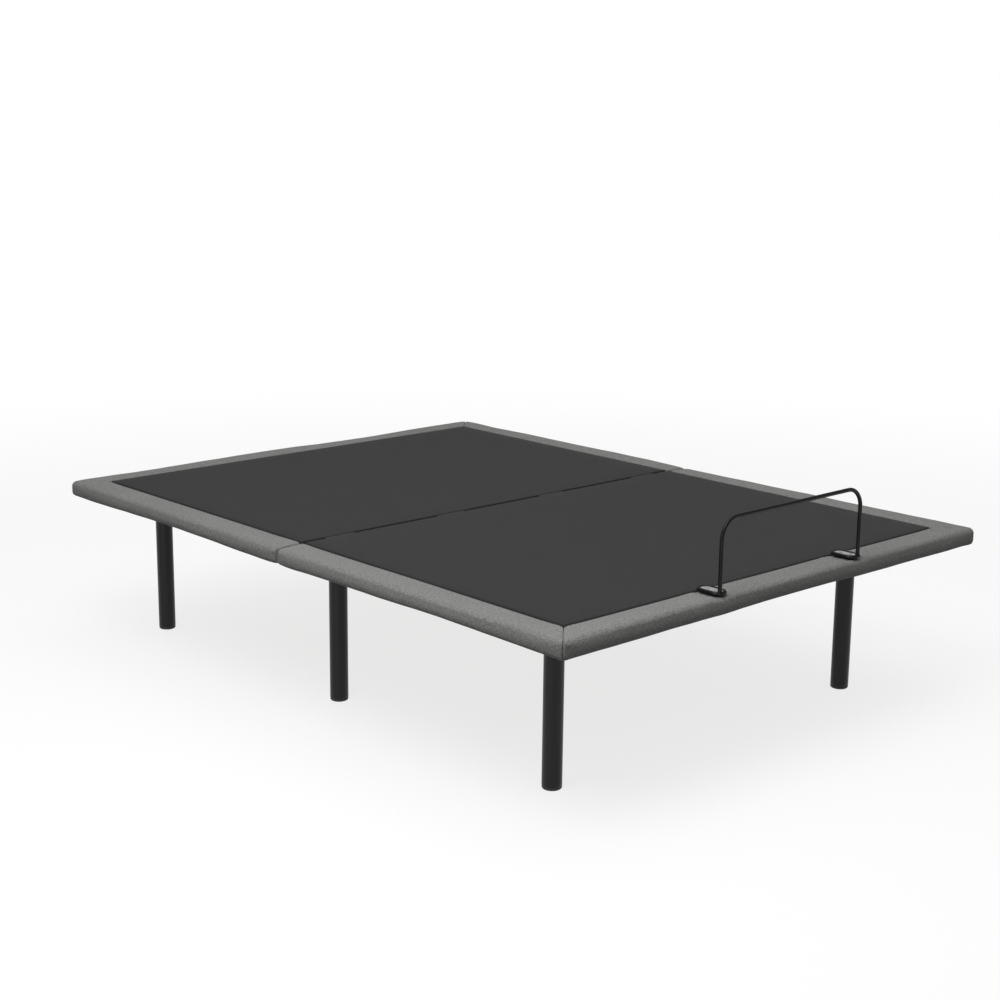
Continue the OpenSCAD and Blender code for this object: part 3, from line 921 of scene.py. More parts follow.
def inflate(piece: bpy.types.Object, held: Sequence[int], swell: Swell) -> None:
    """Runs a cloth simulation that swells a closed piece, and keeps its result.

    Args:
        piece: the closed mesh.
        held: vertices that are stapled or sewn down.
        swell: the pressure and the furthest that a point may move.
    """
    rest = np.array([v.co for v in piece.data.vertices])
    piece.vertex_groups.new(name="held").add(list(held), 1.0, "REPLACE")
    cloth = piece.modifiers.new("Cloth", "CLOTH")
    settings = cloth.settings
    settings.quality = 4
    settings.use_pressure = True
    settings.uniform_pressure_force = swell.pressure
    settings.tension_stiffness = swell.stiffness
    settings.compression_stiffness = swell.stiffness
    settings.effector_weights.gravity = 0.0
    settings.vertex_group_mass = "held"
    cloth.point_cache.frame_start = 1
    cloth.point_cache.frame_end = swell.frames
    for number in range(1, swell.frames + 1):
        bpy.context.scene.frame_set(number)
    shown = piece.evaluated_get(bpy.context.evaluated_depsgraph_get())
    blown = np.array([v.co for v in shown.data.vertices])
    piece.modifiers.remove(cloth)
    piece.vertex_groups.clear()
    move = blown - rest
    length = np.linalg.norm(move, axis=1, keepdims=True)
    move *= np.minimum(1.0, swell.most / np.maximum(length, 1e-9))
    piece.data.vertices.foreach_set("co", (rest + move).ravel())
    bpy.context.scene.frame_set(1)


def subdivide(piece: bpy.types.Object) -> None:
    """Subdivides a piece smoothly, once, and keeps the result as its mesh."""
    smooth = piece.modifiers.new("Smooth", "SUBSURF")
    smooth.levels = 1
    shown = piece.evaluated_get(bpy.context.evaluated_depsgraph_get())
    finer = bpy.data.meshes.new_from_object(shown)
    piece.modifiers.clear()
    piece.data = finer
    finer.shade_smooth()


def sculpt(piece: bpy.types.Object, push: Callable[[Vector, Vector], Vector]) -> None:
    """Moves every point of a piece by what push says.

    Args:
        piece: the piece.
        push: gives a point's move from its place and its normal.
    """
    mesh = piece.data
    normals = [Vector(n.vector) for n in mesh.vertex_normals]
    moved = [v.co + push(v.co, normals[v.index]) for v in mesh.vertices]
    mesh.vertices.foreach_set("co", [c for p in moved for c in p])
    mesh.update()


@dataclass
class RetainerBar:
    """The wire bar that keeps the mattress from sliding off the foot end, with its two screwed feet."""

    rod: float = 10 * MM
    bend: float = 50 * MM
    loop_w: float = 34 * MM
    loop_l: float = 66 * MM
    shift: float = 8 * MM
    far: float = 80 * MM
    dent: float = 3.0 * MM
    dent_reach: float = 6 * MM
    slump_reach: float = 17 * MM
    folds: int = 9
    fold: float = 1.7 * MM
    fold_at: float = 13 * MM
    fold_reach: float = 11 * MM
    bulge: float = 1.0 * MM
    bulge_at: float = 34 * MM
    bulge_reach: float = 12 * MM

    def __post_init__(self) -> None:
        """Reads the bar's place from the frame."""
        self.low, self.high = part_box("retainer_bar")
        self.front = self.low.y + self.rod / 2
        self.level = self.low.z + self.rod / 2
        self.screws = solids_of("retainer_screws")
        right = [(low.x + high.x) / 2 for low, high in self.screws if low.x + high.x > 0]
        self.loop_x = sum(right) / len(right)
        self.half = self.loop_x + self.shift
        self.lead = self.loop_w / 2 - math.sqrt((self.loop_w / 2) ** 2 - self.shift**2)

    def loop_path(self, side: int, radius: float, steps: int = 14) -> list[Vector]:
        """Centre line of a foot loop, or of a smaller loop inside it.

        Args:
            side: -1 for the left foot, 1 for the right.
            radius: half the loop's width.
            steps: points in each half circle.

        Returns:
            The points of the closed path.
        """
        middle_x = side * self.loop_x
        near, far = self.loop_ends()
        path = []
        for end, turn in ((far, 0.0), (near, math.pi)):
            for i in range(steps + 1):
                a = turn + math.pi * i / steps
                x, y = middle_x + radius * math.cos(a), end + radius * math.sin(a)
                path.append(Vector((x, y, self.level)))
        return path

    def loop_ends(self) -> Point2:
        """Returns the Y of the centres of a loop's two half circles."""
        return self.front + self.loop_w / 2, self.front + self.loop_l - self.loop_w / 2

    def distance(self, x: float, y: float) -> float:
        """Returns how far a point lies from the nearer loop's centre line, negative inside it."""
        return math.hypot(abs(x) - self.loop_x, y - clamp(y, *self.loop_ends())) - self.loop_w / 2

    def press(self, place: Vector, normal: Vector) -> float:
        """How far the feet press the padding down at a point.

        Args:
            place: the point.
            normal: its normal.

        Returns:
            The move along Z, in metres.
        """
        if normal.z < 0.2:
            return 0.0
        reach = self.distance(place.x, place.y)
        if reach > self.far:
            return 0.0
        under = self.dent * bell(reach, self.dent_reach)
        inside = self.dent if reach < 0 else self.dent * bell(reach, self.slump_reach)
        angle = math.atan2(place.y - self.front - self.loop_l / 2, abs(place.x) - self.loop_x)
        folds = math.sin(self.folds * angle + 1.3) * bell(reach - self.fold_at, self.fold_reach)
        swell = self.bulge * bell(reach - self.bulge_at, self.bulge_reach)
        return (swell - max(under, inside) + self.fold * folds) * normal.z

    def build(self) -> None:
        """Draws the bar, its foot plates and its screws."""
        bar = Shape()
        top = self.high.z - self.rod / 2
        path = []
        for side in (-1, 1):
            corner = Vector((side * (self.half - self.bend), self.front + self.lead, top - self.bend))
            turns = arc_steps(12) if side > 0 else arc_steps(12)[::-1]
            bend = [corner + self.bend * Vector((side * math.sin(a), 0, math.cos(a))) for a in turns]
            foot = self.foot(side)
            straight = [foot.lerp(bend[0 if side < 0 else -1], t) for t in (0.0, 0.25, 0.5, 0.75)]
            path += straight + bend if side < 0 else bend + straight[::-1]
        bar.sweep(path, self.rod / 2, sides=20)
        collar = in_mm((0, 0), (7.2, 0), (6.6, 2), (5.4, 4.5), (5, 7), (0, 7))
        for side in (-1, 1):
            bar.sweep(self.loop_path(side, self.loop_w / 2), self.rod / 2, sides=16, looped=True)
            bar.lathe(collar, Matrix.Translation(self.foot(side)), sides=20)
        bar.piece("retainer_bar_rod", "base", "bar_enamel", replaced=["retainer_bar"])
        self.build_plates()
        screws = Shape()
        for low, high in self.screws:
            there = axis_of(low, high, high.z)
            add_screw_head(screws, there, (high.x - low.x) / 2, 1.8 * MM)
            screws.lathe(in_mm((0, -33), (2, -33), (2, -1), (0, -1)), there, 16)
        screws.piece("retainer_pan_screws", "base", "zinc_hardware", replaced=["retainer_screws"])

    def foot(self, side: int) -> Vector:
        """Returns where an upright meets its loop, on one side of the bed."""
        return Vector((side * self.half, self.front + self.lead, self.level))

    def build_plates(self) -> None:
        """Draws the dished steel plate welded inside each loop."""
        low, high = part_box("retainer_foot_plates")
        dish, rim, edge = 0.6, 0.86, 0.94
        section = [(dish, high.z - 0.6 * MM), (rim, high.z), (edge, high.z - 0.5 * MM)]
        section += [(edge, low.z), (dish, low.z)]
        plates = Shape()
        for side in (-1, 1):
            rings = []
            for radius, level in section:
                path = self.loop_path(side, radius * self.loop_w / 2)
                rings.append([Vector((p.x, p.y, level)) for p in path])
            plates.loft(rings)
        plates.piece("retainer_saddle_plates", "base", "satin_steel", replaced=["retainer_foot_plates"])


def add_screw_head(shape: Shape, place: Matrix, radius: float, height: float, paint: int = 0) -> None:
    """Adds a pan head with a cross recess, its top at the origin of place.

    Args:
        shape: the mesh being drawn.
        place: where the head's top goes.
        radius: the head's radius.
        height: the head's height.
        paint: the finish number.
    """
    arm_l, arm_w, arm_depth, dome_share = 0.52, 0.13, 0.55, 0.75
    turns = full_turn(32)
    rings = []
    for share in (0.0, 0.14, 0.24, 0.34, 0.44, 0.54, 0.66, 0.82, 0.94, 1.0):
        dome = height * (1.0 - math.sqrt(1.0 - dome_share * share**2))
        ring = []
        for a in turns:
            x, y = share * math.cos(a), share * math.sin(a)
            across, out = sorted((abs(x), abs(y)))
            arm = max(0.0, 1.0 - (across / arm_w) ** 2) if out < arm_l else 0.0
            ring.append(Vector((radius * x, radius * y, -dome - arm_depth * height * arm)))
        rings.append(ring)
    rings.append([Vector((radius * math.cos(a), radius * math.sin(a), -height)) for a in turns])
    shape.loft(rings, paint, place)


class Run(Enum):
    """Which way a border piece runs."""

    SIDE = "along a side"
    END = "across an end"


@dataclass
class PaddedBorder:
    """The padded grey border: foam and cloth round each timber rail, mitred at the corners."""

    plan: DeckPlan
    bar: RetainerBar
    ring_step: float = 13 * MM
    section_step: float = 7 * MM
    inset: float = 1.8 * MM
    crown: float = 1.2 * MM
    fall: float = 4.5 * MM
    proud: float = 0.8 * MM
    wrap: float = 1.2 * MM
    under_r: float = 3 * MM
    outer_r: float = 12 * MM
    inner_r: float = 6 * MM
    unevenness: float = 4.2 * MM
    lump_scale: float = 3.4
    lump_scale_z: float = 5.0
    grain: float = 0.7 * MM
    grain_scale: float = 14.0
    calm_l: float = 30 * MM
    pucker: float = 0.55 * MM
    pucker_l: float = 14 * MM
    pucker_waves: float = 420.0
    sag: float = 2.6 * MM
    sag_l: float = 200 * MM
    fall_l: float = 300 * MM
    seam_l: float = 8 * MM

    def section(self, inset: float) -> list[Point2]:
        """Section of the padding, outward from the inner edge and up from the underside.

        Args:
            inset: how far it stands inside the full size.

        Returns:
            The section's points.
        """
        width, depth, under = self.plan.border, self.plan.top - self.plan.bottom, -self.wrap
        corners = [(0.0, under, self.under_r), (width, under, self.outer_r)]
        corners += [(width, depth, self.outer_r), (0.0, depth, self.inner_r)]
        narrow, low = 1.0 - 2 * inset / width, 1.0 - inset / (depth - under)
        found = []
        for s, t in rounded_outline(corners, steps=5, spacing=self.section_step):
            dome = self.crown * math.sin(math.pi * s / width) * max(0.0, t / depth - 0.6)
            found.append((inset + narrow * s, under + low * (t + dome - under)))
        return found

    def stations(self, length: float, open_end: bool) -> list[tuple[float, float]]:
        """Rings along a piece.

        Args:
            length: the piece's length.
            open_end: the piece starts at the split, and not at a mitre.

        Returns:
            Each ring's share of the length and its inset.
        """
        tuck = in_mm((0, 5), (0.8, 2.6), (2.6, 0.9), (7, 0))
        seam = in_mm((0, 4), (1.2, 1.8), (4, 0.5), (8, 0))
        first = tuck if open_end else seam
        free = length - 2 * self.seam_l
        count = round(free / self.ring_step)
        middle = [(self.seam_l + free * k / count, 0.0) for k in range(1, count)]
        last = [(length - d, e) for d, e in reversed(seam)]
        return [(d / length, self.inset + e) for d, e in first + middle + last]

    def corner_place(self, x: float, y: float) -> Point2:
        """Rounds the outer corner of the plan.

        Args:
            x: across the bed, in the quarter where both are positive.
            y: along the bed.

        Returns:
            The point, moved onto the rounded corner.
        """
        over_x = abs(x) - (self.plan.half_w - self.plan.corner)
        over_y = abs(y) - (self.plan.half_l - self.plan.corner)
        if over_x <= 0 or over_y <= 0:
            return x, y
        scale = max(over_x, over_y) / math.hypot(over_x, over_y)
        turned_x = self.plan.half_w - self.plan.corner + over_x * scale
        turned_y = self.plan.half_l - self.plan.corner + over_y * scale
        return math.copysign(turned_x, x), math.copysign(turned_y, y)

    def rings(self, run: Run) -> list[list[Vector]]:
        """Draws one border piece's rings.

        Args:
            run: the +X side of the head half, or across the head end.

        Returns:
            The rings, in order.
        """
        plan = self.plan
        rings = []
        start = plan.half_gap - self.proud
        length = plan.inner_l - start if run is Run.SIDE else 2 * plan.inner_w
        for share, inset in self.stations(length, run is Run.SIDE):
            ring = []
            for s, t in self.section(inset):
                if run is Run.SIDE:
                    x, y = plan.inner_w + s, start + share * (plan.inner_l + s - start)
                else:
                    x, y = (2 * share - 1) * (plan.inner_w + s), plan.inner_l + s
                x, y = self.corner_place(x, y)
                ring.append(Vector((x, y, plan.bottom + t)))
            rings.append(ring)
        return rings

    def past_inner(self, place: Vector) -> Point2:
        """Returns how far a point is past the border's inner edge, across and along the bed."""
        return abs(place.x) - self.plan.inner_w, abs(place.y) - self.plan.inner_l

    def off_mitre(self, place: Vector) -> float:
        """Returns how far a point is from its corner's mitre, seen from above."""
        past_x, past_y = self.past_inner(place)
        return abs(past_x - past_y) / math.sqrt(2)

    def wave(self, place: Vector) -> float:
        """Slow rise and fall of the padding along its length.

        Args:
            place: a point of the padding.

        Returns:
            A height from -1 to 1, low toward the corners and high between them.
        """
        past_x, past_y = self.past_inner(place)
        if past_y > 0 and past_y > past_x:
            return -math.cos(2 * math.pi * (place.x / (2 * self.plan.half_w) + 0.5))
        strength = 0.8 if place.x > 0 else 1.0
        return -math.cos(2 * math.pi * abs(place.y) / self.plan.half_l) * strength

    def relief(self, place: Vector, normal: Vector) -> Vector:
        """Unevenness of the foam, puckers beside the mitres and dents under the bar's feet.

        Args:
            place: a point of the padding.
            normal: its normal.

        Returns:
            The point's move.
        """
        plan = self.plan
        mitre = self.off_mitre(place)
        split = abs(place.y) - plan.half_gap
        wide, tall, fine = self.lump_scale, self.lump_scale_z, self.grain_scale
        soft = noise.noise(Vector((place.x * wide, place.y * wide, place.z * tall)))
        small = noise.noise(Vector((place.x * fine, place.y * fine, place.z * fine + 7)))
        quiet = clamp(min(mitre, split) / self.calm_l)
        outward = max(self.past_inner(place)) / plan.border
        loose = clamp(2.2 * outward, low=0.15)
        out = quiet * loose * (self.unevenness * soft + self.grain * small)
        near = min(mitre, split if abs(place.x) > plan.inner_w else 1.0)
        ripple = math.sin((place.x + place.y + 1.7 * place.z) * self.pucker_waves + 3 * small)
        out += self.pucker * math.exp(-near / self.pucker_l) * ripple * min(1.0, near / (3 * MM))
        move = normal * out
        low = clamp((plan.top - place.z) / (plan.top - plan.bottom))
        move.z += self.sag * (self.wave(place) - 1.0) * low * min(1.0, 0.7 + split / self.sag_l)
        away = clamp((place.y + plan.inner_l) / self.fall_l)
        move.z -= self.fall * clamp(outward) * (1.0 - low) * away
        if place.z < plan.bottom:
            move.z = min(move.z, 0.0)
        if place.y < 0:
            move.z += self.bar.press(place, normal)
        return move

    def build(self) -> None:
        """Draws the six border pieces, swells them and sculpts them."""
        for half, sign in HALVES:
            for name, run, flip in (("left", Run.SIDE, -1), ("right", Run.SIDE, 1), ("end", Run.END, 1)):
                node = f"{half}_border_{name}"
                turned = Matrix.Diagonal((flip, sign, 1, 1))
                drawn = Shape()
                drawn.loft(self.rings(run), place=turned, fan=True)
                piece = drawn.piece(
                    f"{node}_padding", body_of(node), "border_fabric", replaced=[node], sharp=180.0
                )
                inflate(piece, self.held(piece, run), Swell(pressure=4.0, most=1.2 * MM))
                subdivide(piece)
                sculpt(piece, self.relief)

    def held(self, piece: bpy.types.Object, run: Run) -> list[int]:
        """Finds the vertices that are stapled, sewn or tucked in.

        Args:
            piece: a border piece.
            run: the way it runs.

        Returns:
            The indices of the vertices under the rail, at a mitre and at the split.
        """
        plan = self.plan
        kept = []
        for v in piece.data.vertices:
            tucked = run is Run.SIDE and abs(v.co.y) - plan.half_gap < 2 * MM
            if v.co.z < plan.bottom + 1 * MM or self.off_mitre(v.co) < 2 * MM or tucked:
                kept.append(v.index)
        return kept


@dataclass
class DeckPads:
    """The two charcoal pads that the mattress lies on."""

    plan: DeckPlan
    cell: float = 22 * MM
    edge: float = 5 * MM
    split_edge: float = 2.2 * MM
    clear: float = 0.8 * MM
    proud: float = 1.0 * MM
    soft: float = 0.5 * MM
    soft_scale: float = 3.1
    calm_l: float = 60 * MM

    def build(self) -> None:
        """Draws both pads, swells them a little and sculpts faint undulations."""
        for half, sign in HALVES:
            node = f"{half}_deck_pad"
            low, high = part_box(node)
            low, high = low + Vector((self.clear, 0, 0.2 * MM)), high + Vector((-self.clear, 0, 0.5 * MM))
            if sign > 0:
                low.y, high.y = low.y - self.proud, high.y - self.clear
            else:
                low.y, high.y = low.y + self.clear, high.y + self.proud
            piece = self.slab(node, low, high)
            bottom = [v.index for v in piece.data.vertices if v.co.z < low.z + 1 * MM]
            inflate(piece, bottom, Swell(pressure=2.0, most=1.2 * MM))
            subdivide(piece)
            sculpt(piece, self.relief)

    @staticmethod
    def share(rank: int) -> float:
        """Returns how much of its edge's depth the slab's nth row of points from an edge has lost."""
        return (1.0, 0.3, 0.0)[min(rank, 2)]

    def slab(self, node: str, low: Vector, high: Vector) -> bpy.types.Object:
        """Draws a slab as nested rounded outlines: flat top, soft edge, straight sides, flat underside.

        Args:
            node: the frame node it stands for.
            low: its lowest corner.
            high: its highest corner.

        Returns:
            The piece.
        """
        at_head = low.y > 0
        ends = (self.split_edge, self.edge) if at_head else (self.edge, self.split_edge)
        xs = self.lines(low.x, high.x, self.edge, self.edge)
        ys = self.lines(low.y, high.y, *ends)
        wide, total = len(ys), len(xs) * len(ys)
        last_x, last_y = len(xs) - 1, len(ys) - 1
        top = []
        for i, x in enumerate(xs):
            for j, y in enumerate(ys):
                from_split, from_edge = (j, last_y - j) if at_head else (last_y - j, j)
                drop = self.share(min(i, last_x - i, from_edge)) * self.edge
                drop = max(drop, self.share(from_split) * self.split_edge)
                top.append(Vector((x, y, high.z - drop)))
        corners = [i * wide + j for i in range(last_x) for j in range(last_y)]
        faces = [(c, c + wide, c + wide + 1, c + 1) for c in corners]
        drawn = Shape()
        drawn.add(top, faces)
        drawn.add([Vector((p.x, p.y, low.z)) for p in top], faces)
        rim = [i * wide for i in range(len(xs))] + [last_x * wide + j for j in range(1, wide)]
        rim += [i * wide + last_y for i in range(last_x - 1, -1, -1)] + list(range(last_y - 1, 0, -1))
        for a, b in zip(rim, rim[1:] + rim[:1]):
            drawn.faces.append((a, b, b + total, a + total))
            drawn.paints.append(0)
        return drawn.piece(
            f"{node}_cover", body_of(node), "deck_fabric", replaced=[node], sharp=180.0
        )

    def lines(self, start: float, end: float, first: float, last: float) -> list[float]:
        """Spreads a slab's rows of points between two of its edges.

        Args:
            start: the first edge.
            end: the last edge.
            first: how far the first edge's rounding reaches in.
            last: how far the last edge's rounding reaches in.

        Returns:
            The rows' places, both edges included.
        """
        flat = end - start - first - last
        count = round(flat / self.cell)
        inner = [start + first + flat * k / count for k in range(count + 1)]
        return [start, start + 0.3 * first, *inner, end - 0.3 * last, end]

    def relief(self, place: Vector, normal: Vector) -> Vector:
        """Faint unevenness of the foam under the cloth, less toward the edges."""
        plan, scale = self.plan, self.soft_scale
        x, y = abs(place.x), abs(place.y)
        calm = clamp(min(plan.inner_w - x, plan.inner_l - y, y - plan.half_gap) / self.calm_l)
        lump = noise.noise(Vector((place.x * scale + 4, place.y * scale, 2.0)))
        return Vector((0, 0, self.soft * lump * calm if normal.z > 0.3 else 0.0))


# ------------------------------------------------------------------ steel work


class Axis(Enum):
    """The way a tube runs."""

    X = 0
    Y = 1


@dataclass
class SteelTubes:
    """Every rectangular tube, with rolled corners, deburred ends and weld beads where tubes meet."""

    wall: float = 2 * MM
    corner: float = 3 * MM
    burr: float = 0.5 * MM
    bead: float = 2.4 * MM
    ripple: float = 3.6 * MM

    RUNS = {
        Axis.Y: ["side_tube_left", "side_tube_right", "foot_bearer_left", "foot_bearer_right",
                 "head_bearer_left", "head_bearer_right", "lever_spine"],
        Axis.X: ["cross_tube_foot", "cross_tube_motor", "cross_tube_center", "cross_tube_head",
                 "foot_cross_bearers", "lift_tube", "head_cross_tubes"],
    }

    def outline(
        self, low: Vector, high: Vector, axis: Axis, inset: float, radius: float, at: float
    ) -> list[Vector]:
        """One ring of a tube.

        Args:
            low: the tube's lowest corner.
            high: its highest corner.
            axis: the way it runs.
            inset: how far the ring stands inside the tube's surface.
            radius: the ring's corner radius.
            at: its place along the tube.

        Returns:
            The ring's points.
        """
        other = 1 - axis.value
        a0, a1 = low[other] + inset, high[other] - inset
        z0, z1 = low.z + inset, high.z - inset
        corners = [(a0, z0, radius), (a1, z0, radius), (a1, z1, radius), (a0, z1, radius)]
        loop = rounded_outline(corners, steps=4)
        if axis is Axis.X:
            return [Vector((at, a, z)) for a, z in loop]
        return [Vector((a, at, z)) for a, z in loop]

    def tube(self, shape: Shape, low: Vector, high: Vector, axis: Axis) -> None:
        """Draws one hollow tube."""
        start, end = low[axis.value], high[axis.value]
        bore, rim = self.corner - self.wall + 0.4 * MM, self.corner - self.burr
        rings = [(self.wall, bore, start), (self.burr, rim, start)]
        rings += [(0.0, self.corner, start + self.burr), (0.0, self.corner, end - self.burr)]
        rings += [(self.burr, rim, end), (self.wall, bore, end)]
        shape.loft([self.outline(low, high, axis, *ring) for ring in rings], looped=True)

    def weld(self, shape: Shape, low: Vector, high: Vector, axis: Axis, at: float) -> None:
        """Draws a rippled weld bead round a tube's end."""
        steps, swing = 4, 0.14
        loop = self.outline(low, high, axis, -0.4 * MM, self.corner + 1 * MM, at)
        path: list[Vector] = []
        for here, after in zip(loop, loop[1:] + loop[:1]):
            parts = max(1, round((after - here).length / (self.ripple / steps)))
            path += [here.lerp(after, k / parts) for k in range(parts)]
        waves = [math.sin(2 * math.pi * k / steps + 0.6) for k in range(len(path))]
        radii = [self.bead * (0.86 + swing * wave) for wave in waves]
        shape.sweep(path, radii, sides=8, looped=True)

    def build(self) -> None:
        """Draws every tube and the beads at the ends of the cross tubes."""
        welds = {"base": Shape(), "head": Shape()}
        for axis, names in self.RUNS.items():
            for node in names:
                drawn = Shape()
                for low, high in solids_of(node):
                    self.tube(drawn, low, high, axis)
                    if axis is Axis.X:
                        for at in (low.x, high.x):
                            self.weld(welds[body_of(node)], low, high, axis, at)
                drawn.piece(f"{node}_steel", body_of(node), "frame_enamel", replaced=[node])
        for body, drawn in welds.items():
            drawn.piece(f"{body}_weld_beads", body, "frame_enamel", sharp=60.0)


@dataclass
class RoundLegs:
    """Six tubular legs with rolled edges, each on a moulded glide."""

    rolled: float = 1.6 * MM
    wall: float = 2 * MM

    plug: float = 12 * MM
    glide_edge: float = 4.6 * MM
    sides: int = 64

    def build(self) -> None:
        """Draws the legs one by one, and the glides as one piece."""
        for node in sorted(n for n in NODE_SLOT if NODE_SLOT[n] == "leg_enamel"):
            low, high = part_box(node)
            drawn = Shape()
            drawn.lathe(self.leg_profile(low, high), axis_of(low, high), self.sides)
            drawn.piece(f"{node}_tube", "base", "leg_enamel", replaced=[node])
        drawn = Shape()
        for low, high in solids_of("leg_glides"):
            drawn.lathe(self.glide_profile(low, high), axis_of(low, high), self.sides)
        drawn.piece("leg_glide_feet", "base", "black_plastic", replaced=["leg_glides"])

    def leg_profile(self, low: Vector, high: Vector) -> list[Point2]:
        """Draws half a leg's section, from its closed top down to the plug inside its end.

        Args:
            low: the leg's lowest corner.
            high: its highest corner.

        Returns:
            The profile's points.
        """
        radius = (high.x - low.x) / 2
        profile = [(0.0, high.z)]
        for a in arc_steps(4):
            inward, down = self.rolled * (1 - math.sin(a)), self.rolled * (1 - math.cos(a))
            profile.append((radius - inward, high.z - down))
        profile += [(radius, z) for z in np.linspace(high.z - 12 * MM, low.z + 6 * MM, 8)]
        profile += around(radius, (0, 1), (-0.8, 0), base=low.z)
        profile += [(radius - self.wall, low.z), (radius - self.wall, low.z + self.plug)]
        return profile + [(0.0, low.z + self.plug)]

    def glide_profile(self, low: Vector, high: Vector) -> list[Point2]:
        """Draws half a glide's section, from its hollowed face up to the neck in the leg.

        Args:
            low: the glide's lowest corner.
            high: its highest corner.

        Returns:
            The profile's points.
        """
        radius, edge = (high.x - low.x) / 2, self.glide_edge
        profile = [(0.0, 0.9 * MM)] + around(radius, (-9, 0.9), (-8, 0), (-5, 0))
        for a in arc_steps(6)[1:]:
            profile.append((radius - 5 * MM + edge * math.sin(a), edge * (1 - math.cos(a))))
        profile += around(radius, (-0.4, 6.6), (-1.4, 7), (-1.4, 7.9), (-2.2, 8))
        return profile + [(radius - 2.2 * MM, high.z), (0.0, high.z)]


@dataclass
class Staples:
    """Staples that hold the cloth under the rails, and bolts under the lifting bearers."""

    plan: DeckPlan
    spacing: float = 62 * MM
    crown: float = 10 * MM
    wire: float = 0.6 * MM
    stray: float = 0.25

    def row(self, shape: Shape, start: Vector, end: Vector, turn: float) -> None:
        """Adds a row of staples.

        Args:
            shape: the mesh being drawn.
            start: the first staple's place.
            end: the last staple's place.
            turn: a slight angle between the staples and the row.
        """
        along = (end - start).normalized()
        leg = Vector((0, 0, 1.2 * MM))
        count = int((end - start).length / self.spacing)
        for k in range(count + 1):
            middle = start.lerp(end, k / count)
            lean = turn + self.stray * noise.noise(middle * 37.0)
            way = Matrix.Rotation(lean, 3, "Z") @ along * (self.crown / 2)
            path = [middle - way + leg, middle - way * 0.94, middle + way * 0.94, middle + way + leg]
            shape.sweep(path, self.wire, sides=6)

    def build(self) -> None:
        """Draws the staples of both halves and the bearers' bolts."""
        plan = self.plan
        level = plan.bottom - 1.5 * MM
        across = plan.inner_w + 0.36 * plan.border
        along = plan.inner_l + 0.36 * plan.border
        for body, sign in (("head", 1), ("base", -1)):
            drawn = Shape()
            for side in (-1, 1):
                start = Vector((side * across, sign * (plan.half_gap + 30 * MM), level))
                self.row(drawn, start, Vector((side * across, sign * (along - 20 * MM), level)), 0.35)
            start = Vector((30 * MM - across, sign * along, level))
            self.row(drawn, start, Vector((across - 30 * MM, sign * along, level)), -0.3)
            drawn.piece(f"{body}_cloth_staples", body, "zinc_hardware")
        self.build_bolts()

    def build_bolts(self) -> None:
        """Draws button-head bolts with washers under the head bearers."""
        drawn = Shape()
        turned = Matrix.Rotation(math.pi, 4, "X")
        washer = in_mm((0, 0), (8, 0), (8, 0.9), (7.5, 1.2), (0, 1.2))
        button = in_mm((0, 1), (5.6, 1.1), (5.2, 2.2), (3.8, 3.3), (2.2, 3.6), (2, 2), (0, 2))
        for node in ("head_bearer_left", "head_bearer_right"):
            low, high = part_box(node)
            for share in (0.05, 0.35, 0.62, 0.95):
                place = Vector(((low.x + high.x) / 2, low.y + share * (high.y - low.y), low.z))
                there = Matrix.Translation(place) @ turned
                drawn.lathe(washer, there, 28)
                drawn.lathe(button, there, 24)
        drawn.piece("bearer_button_bolts", "head", "zinc_hardware")


# ------------------------------------------------------------------ drive


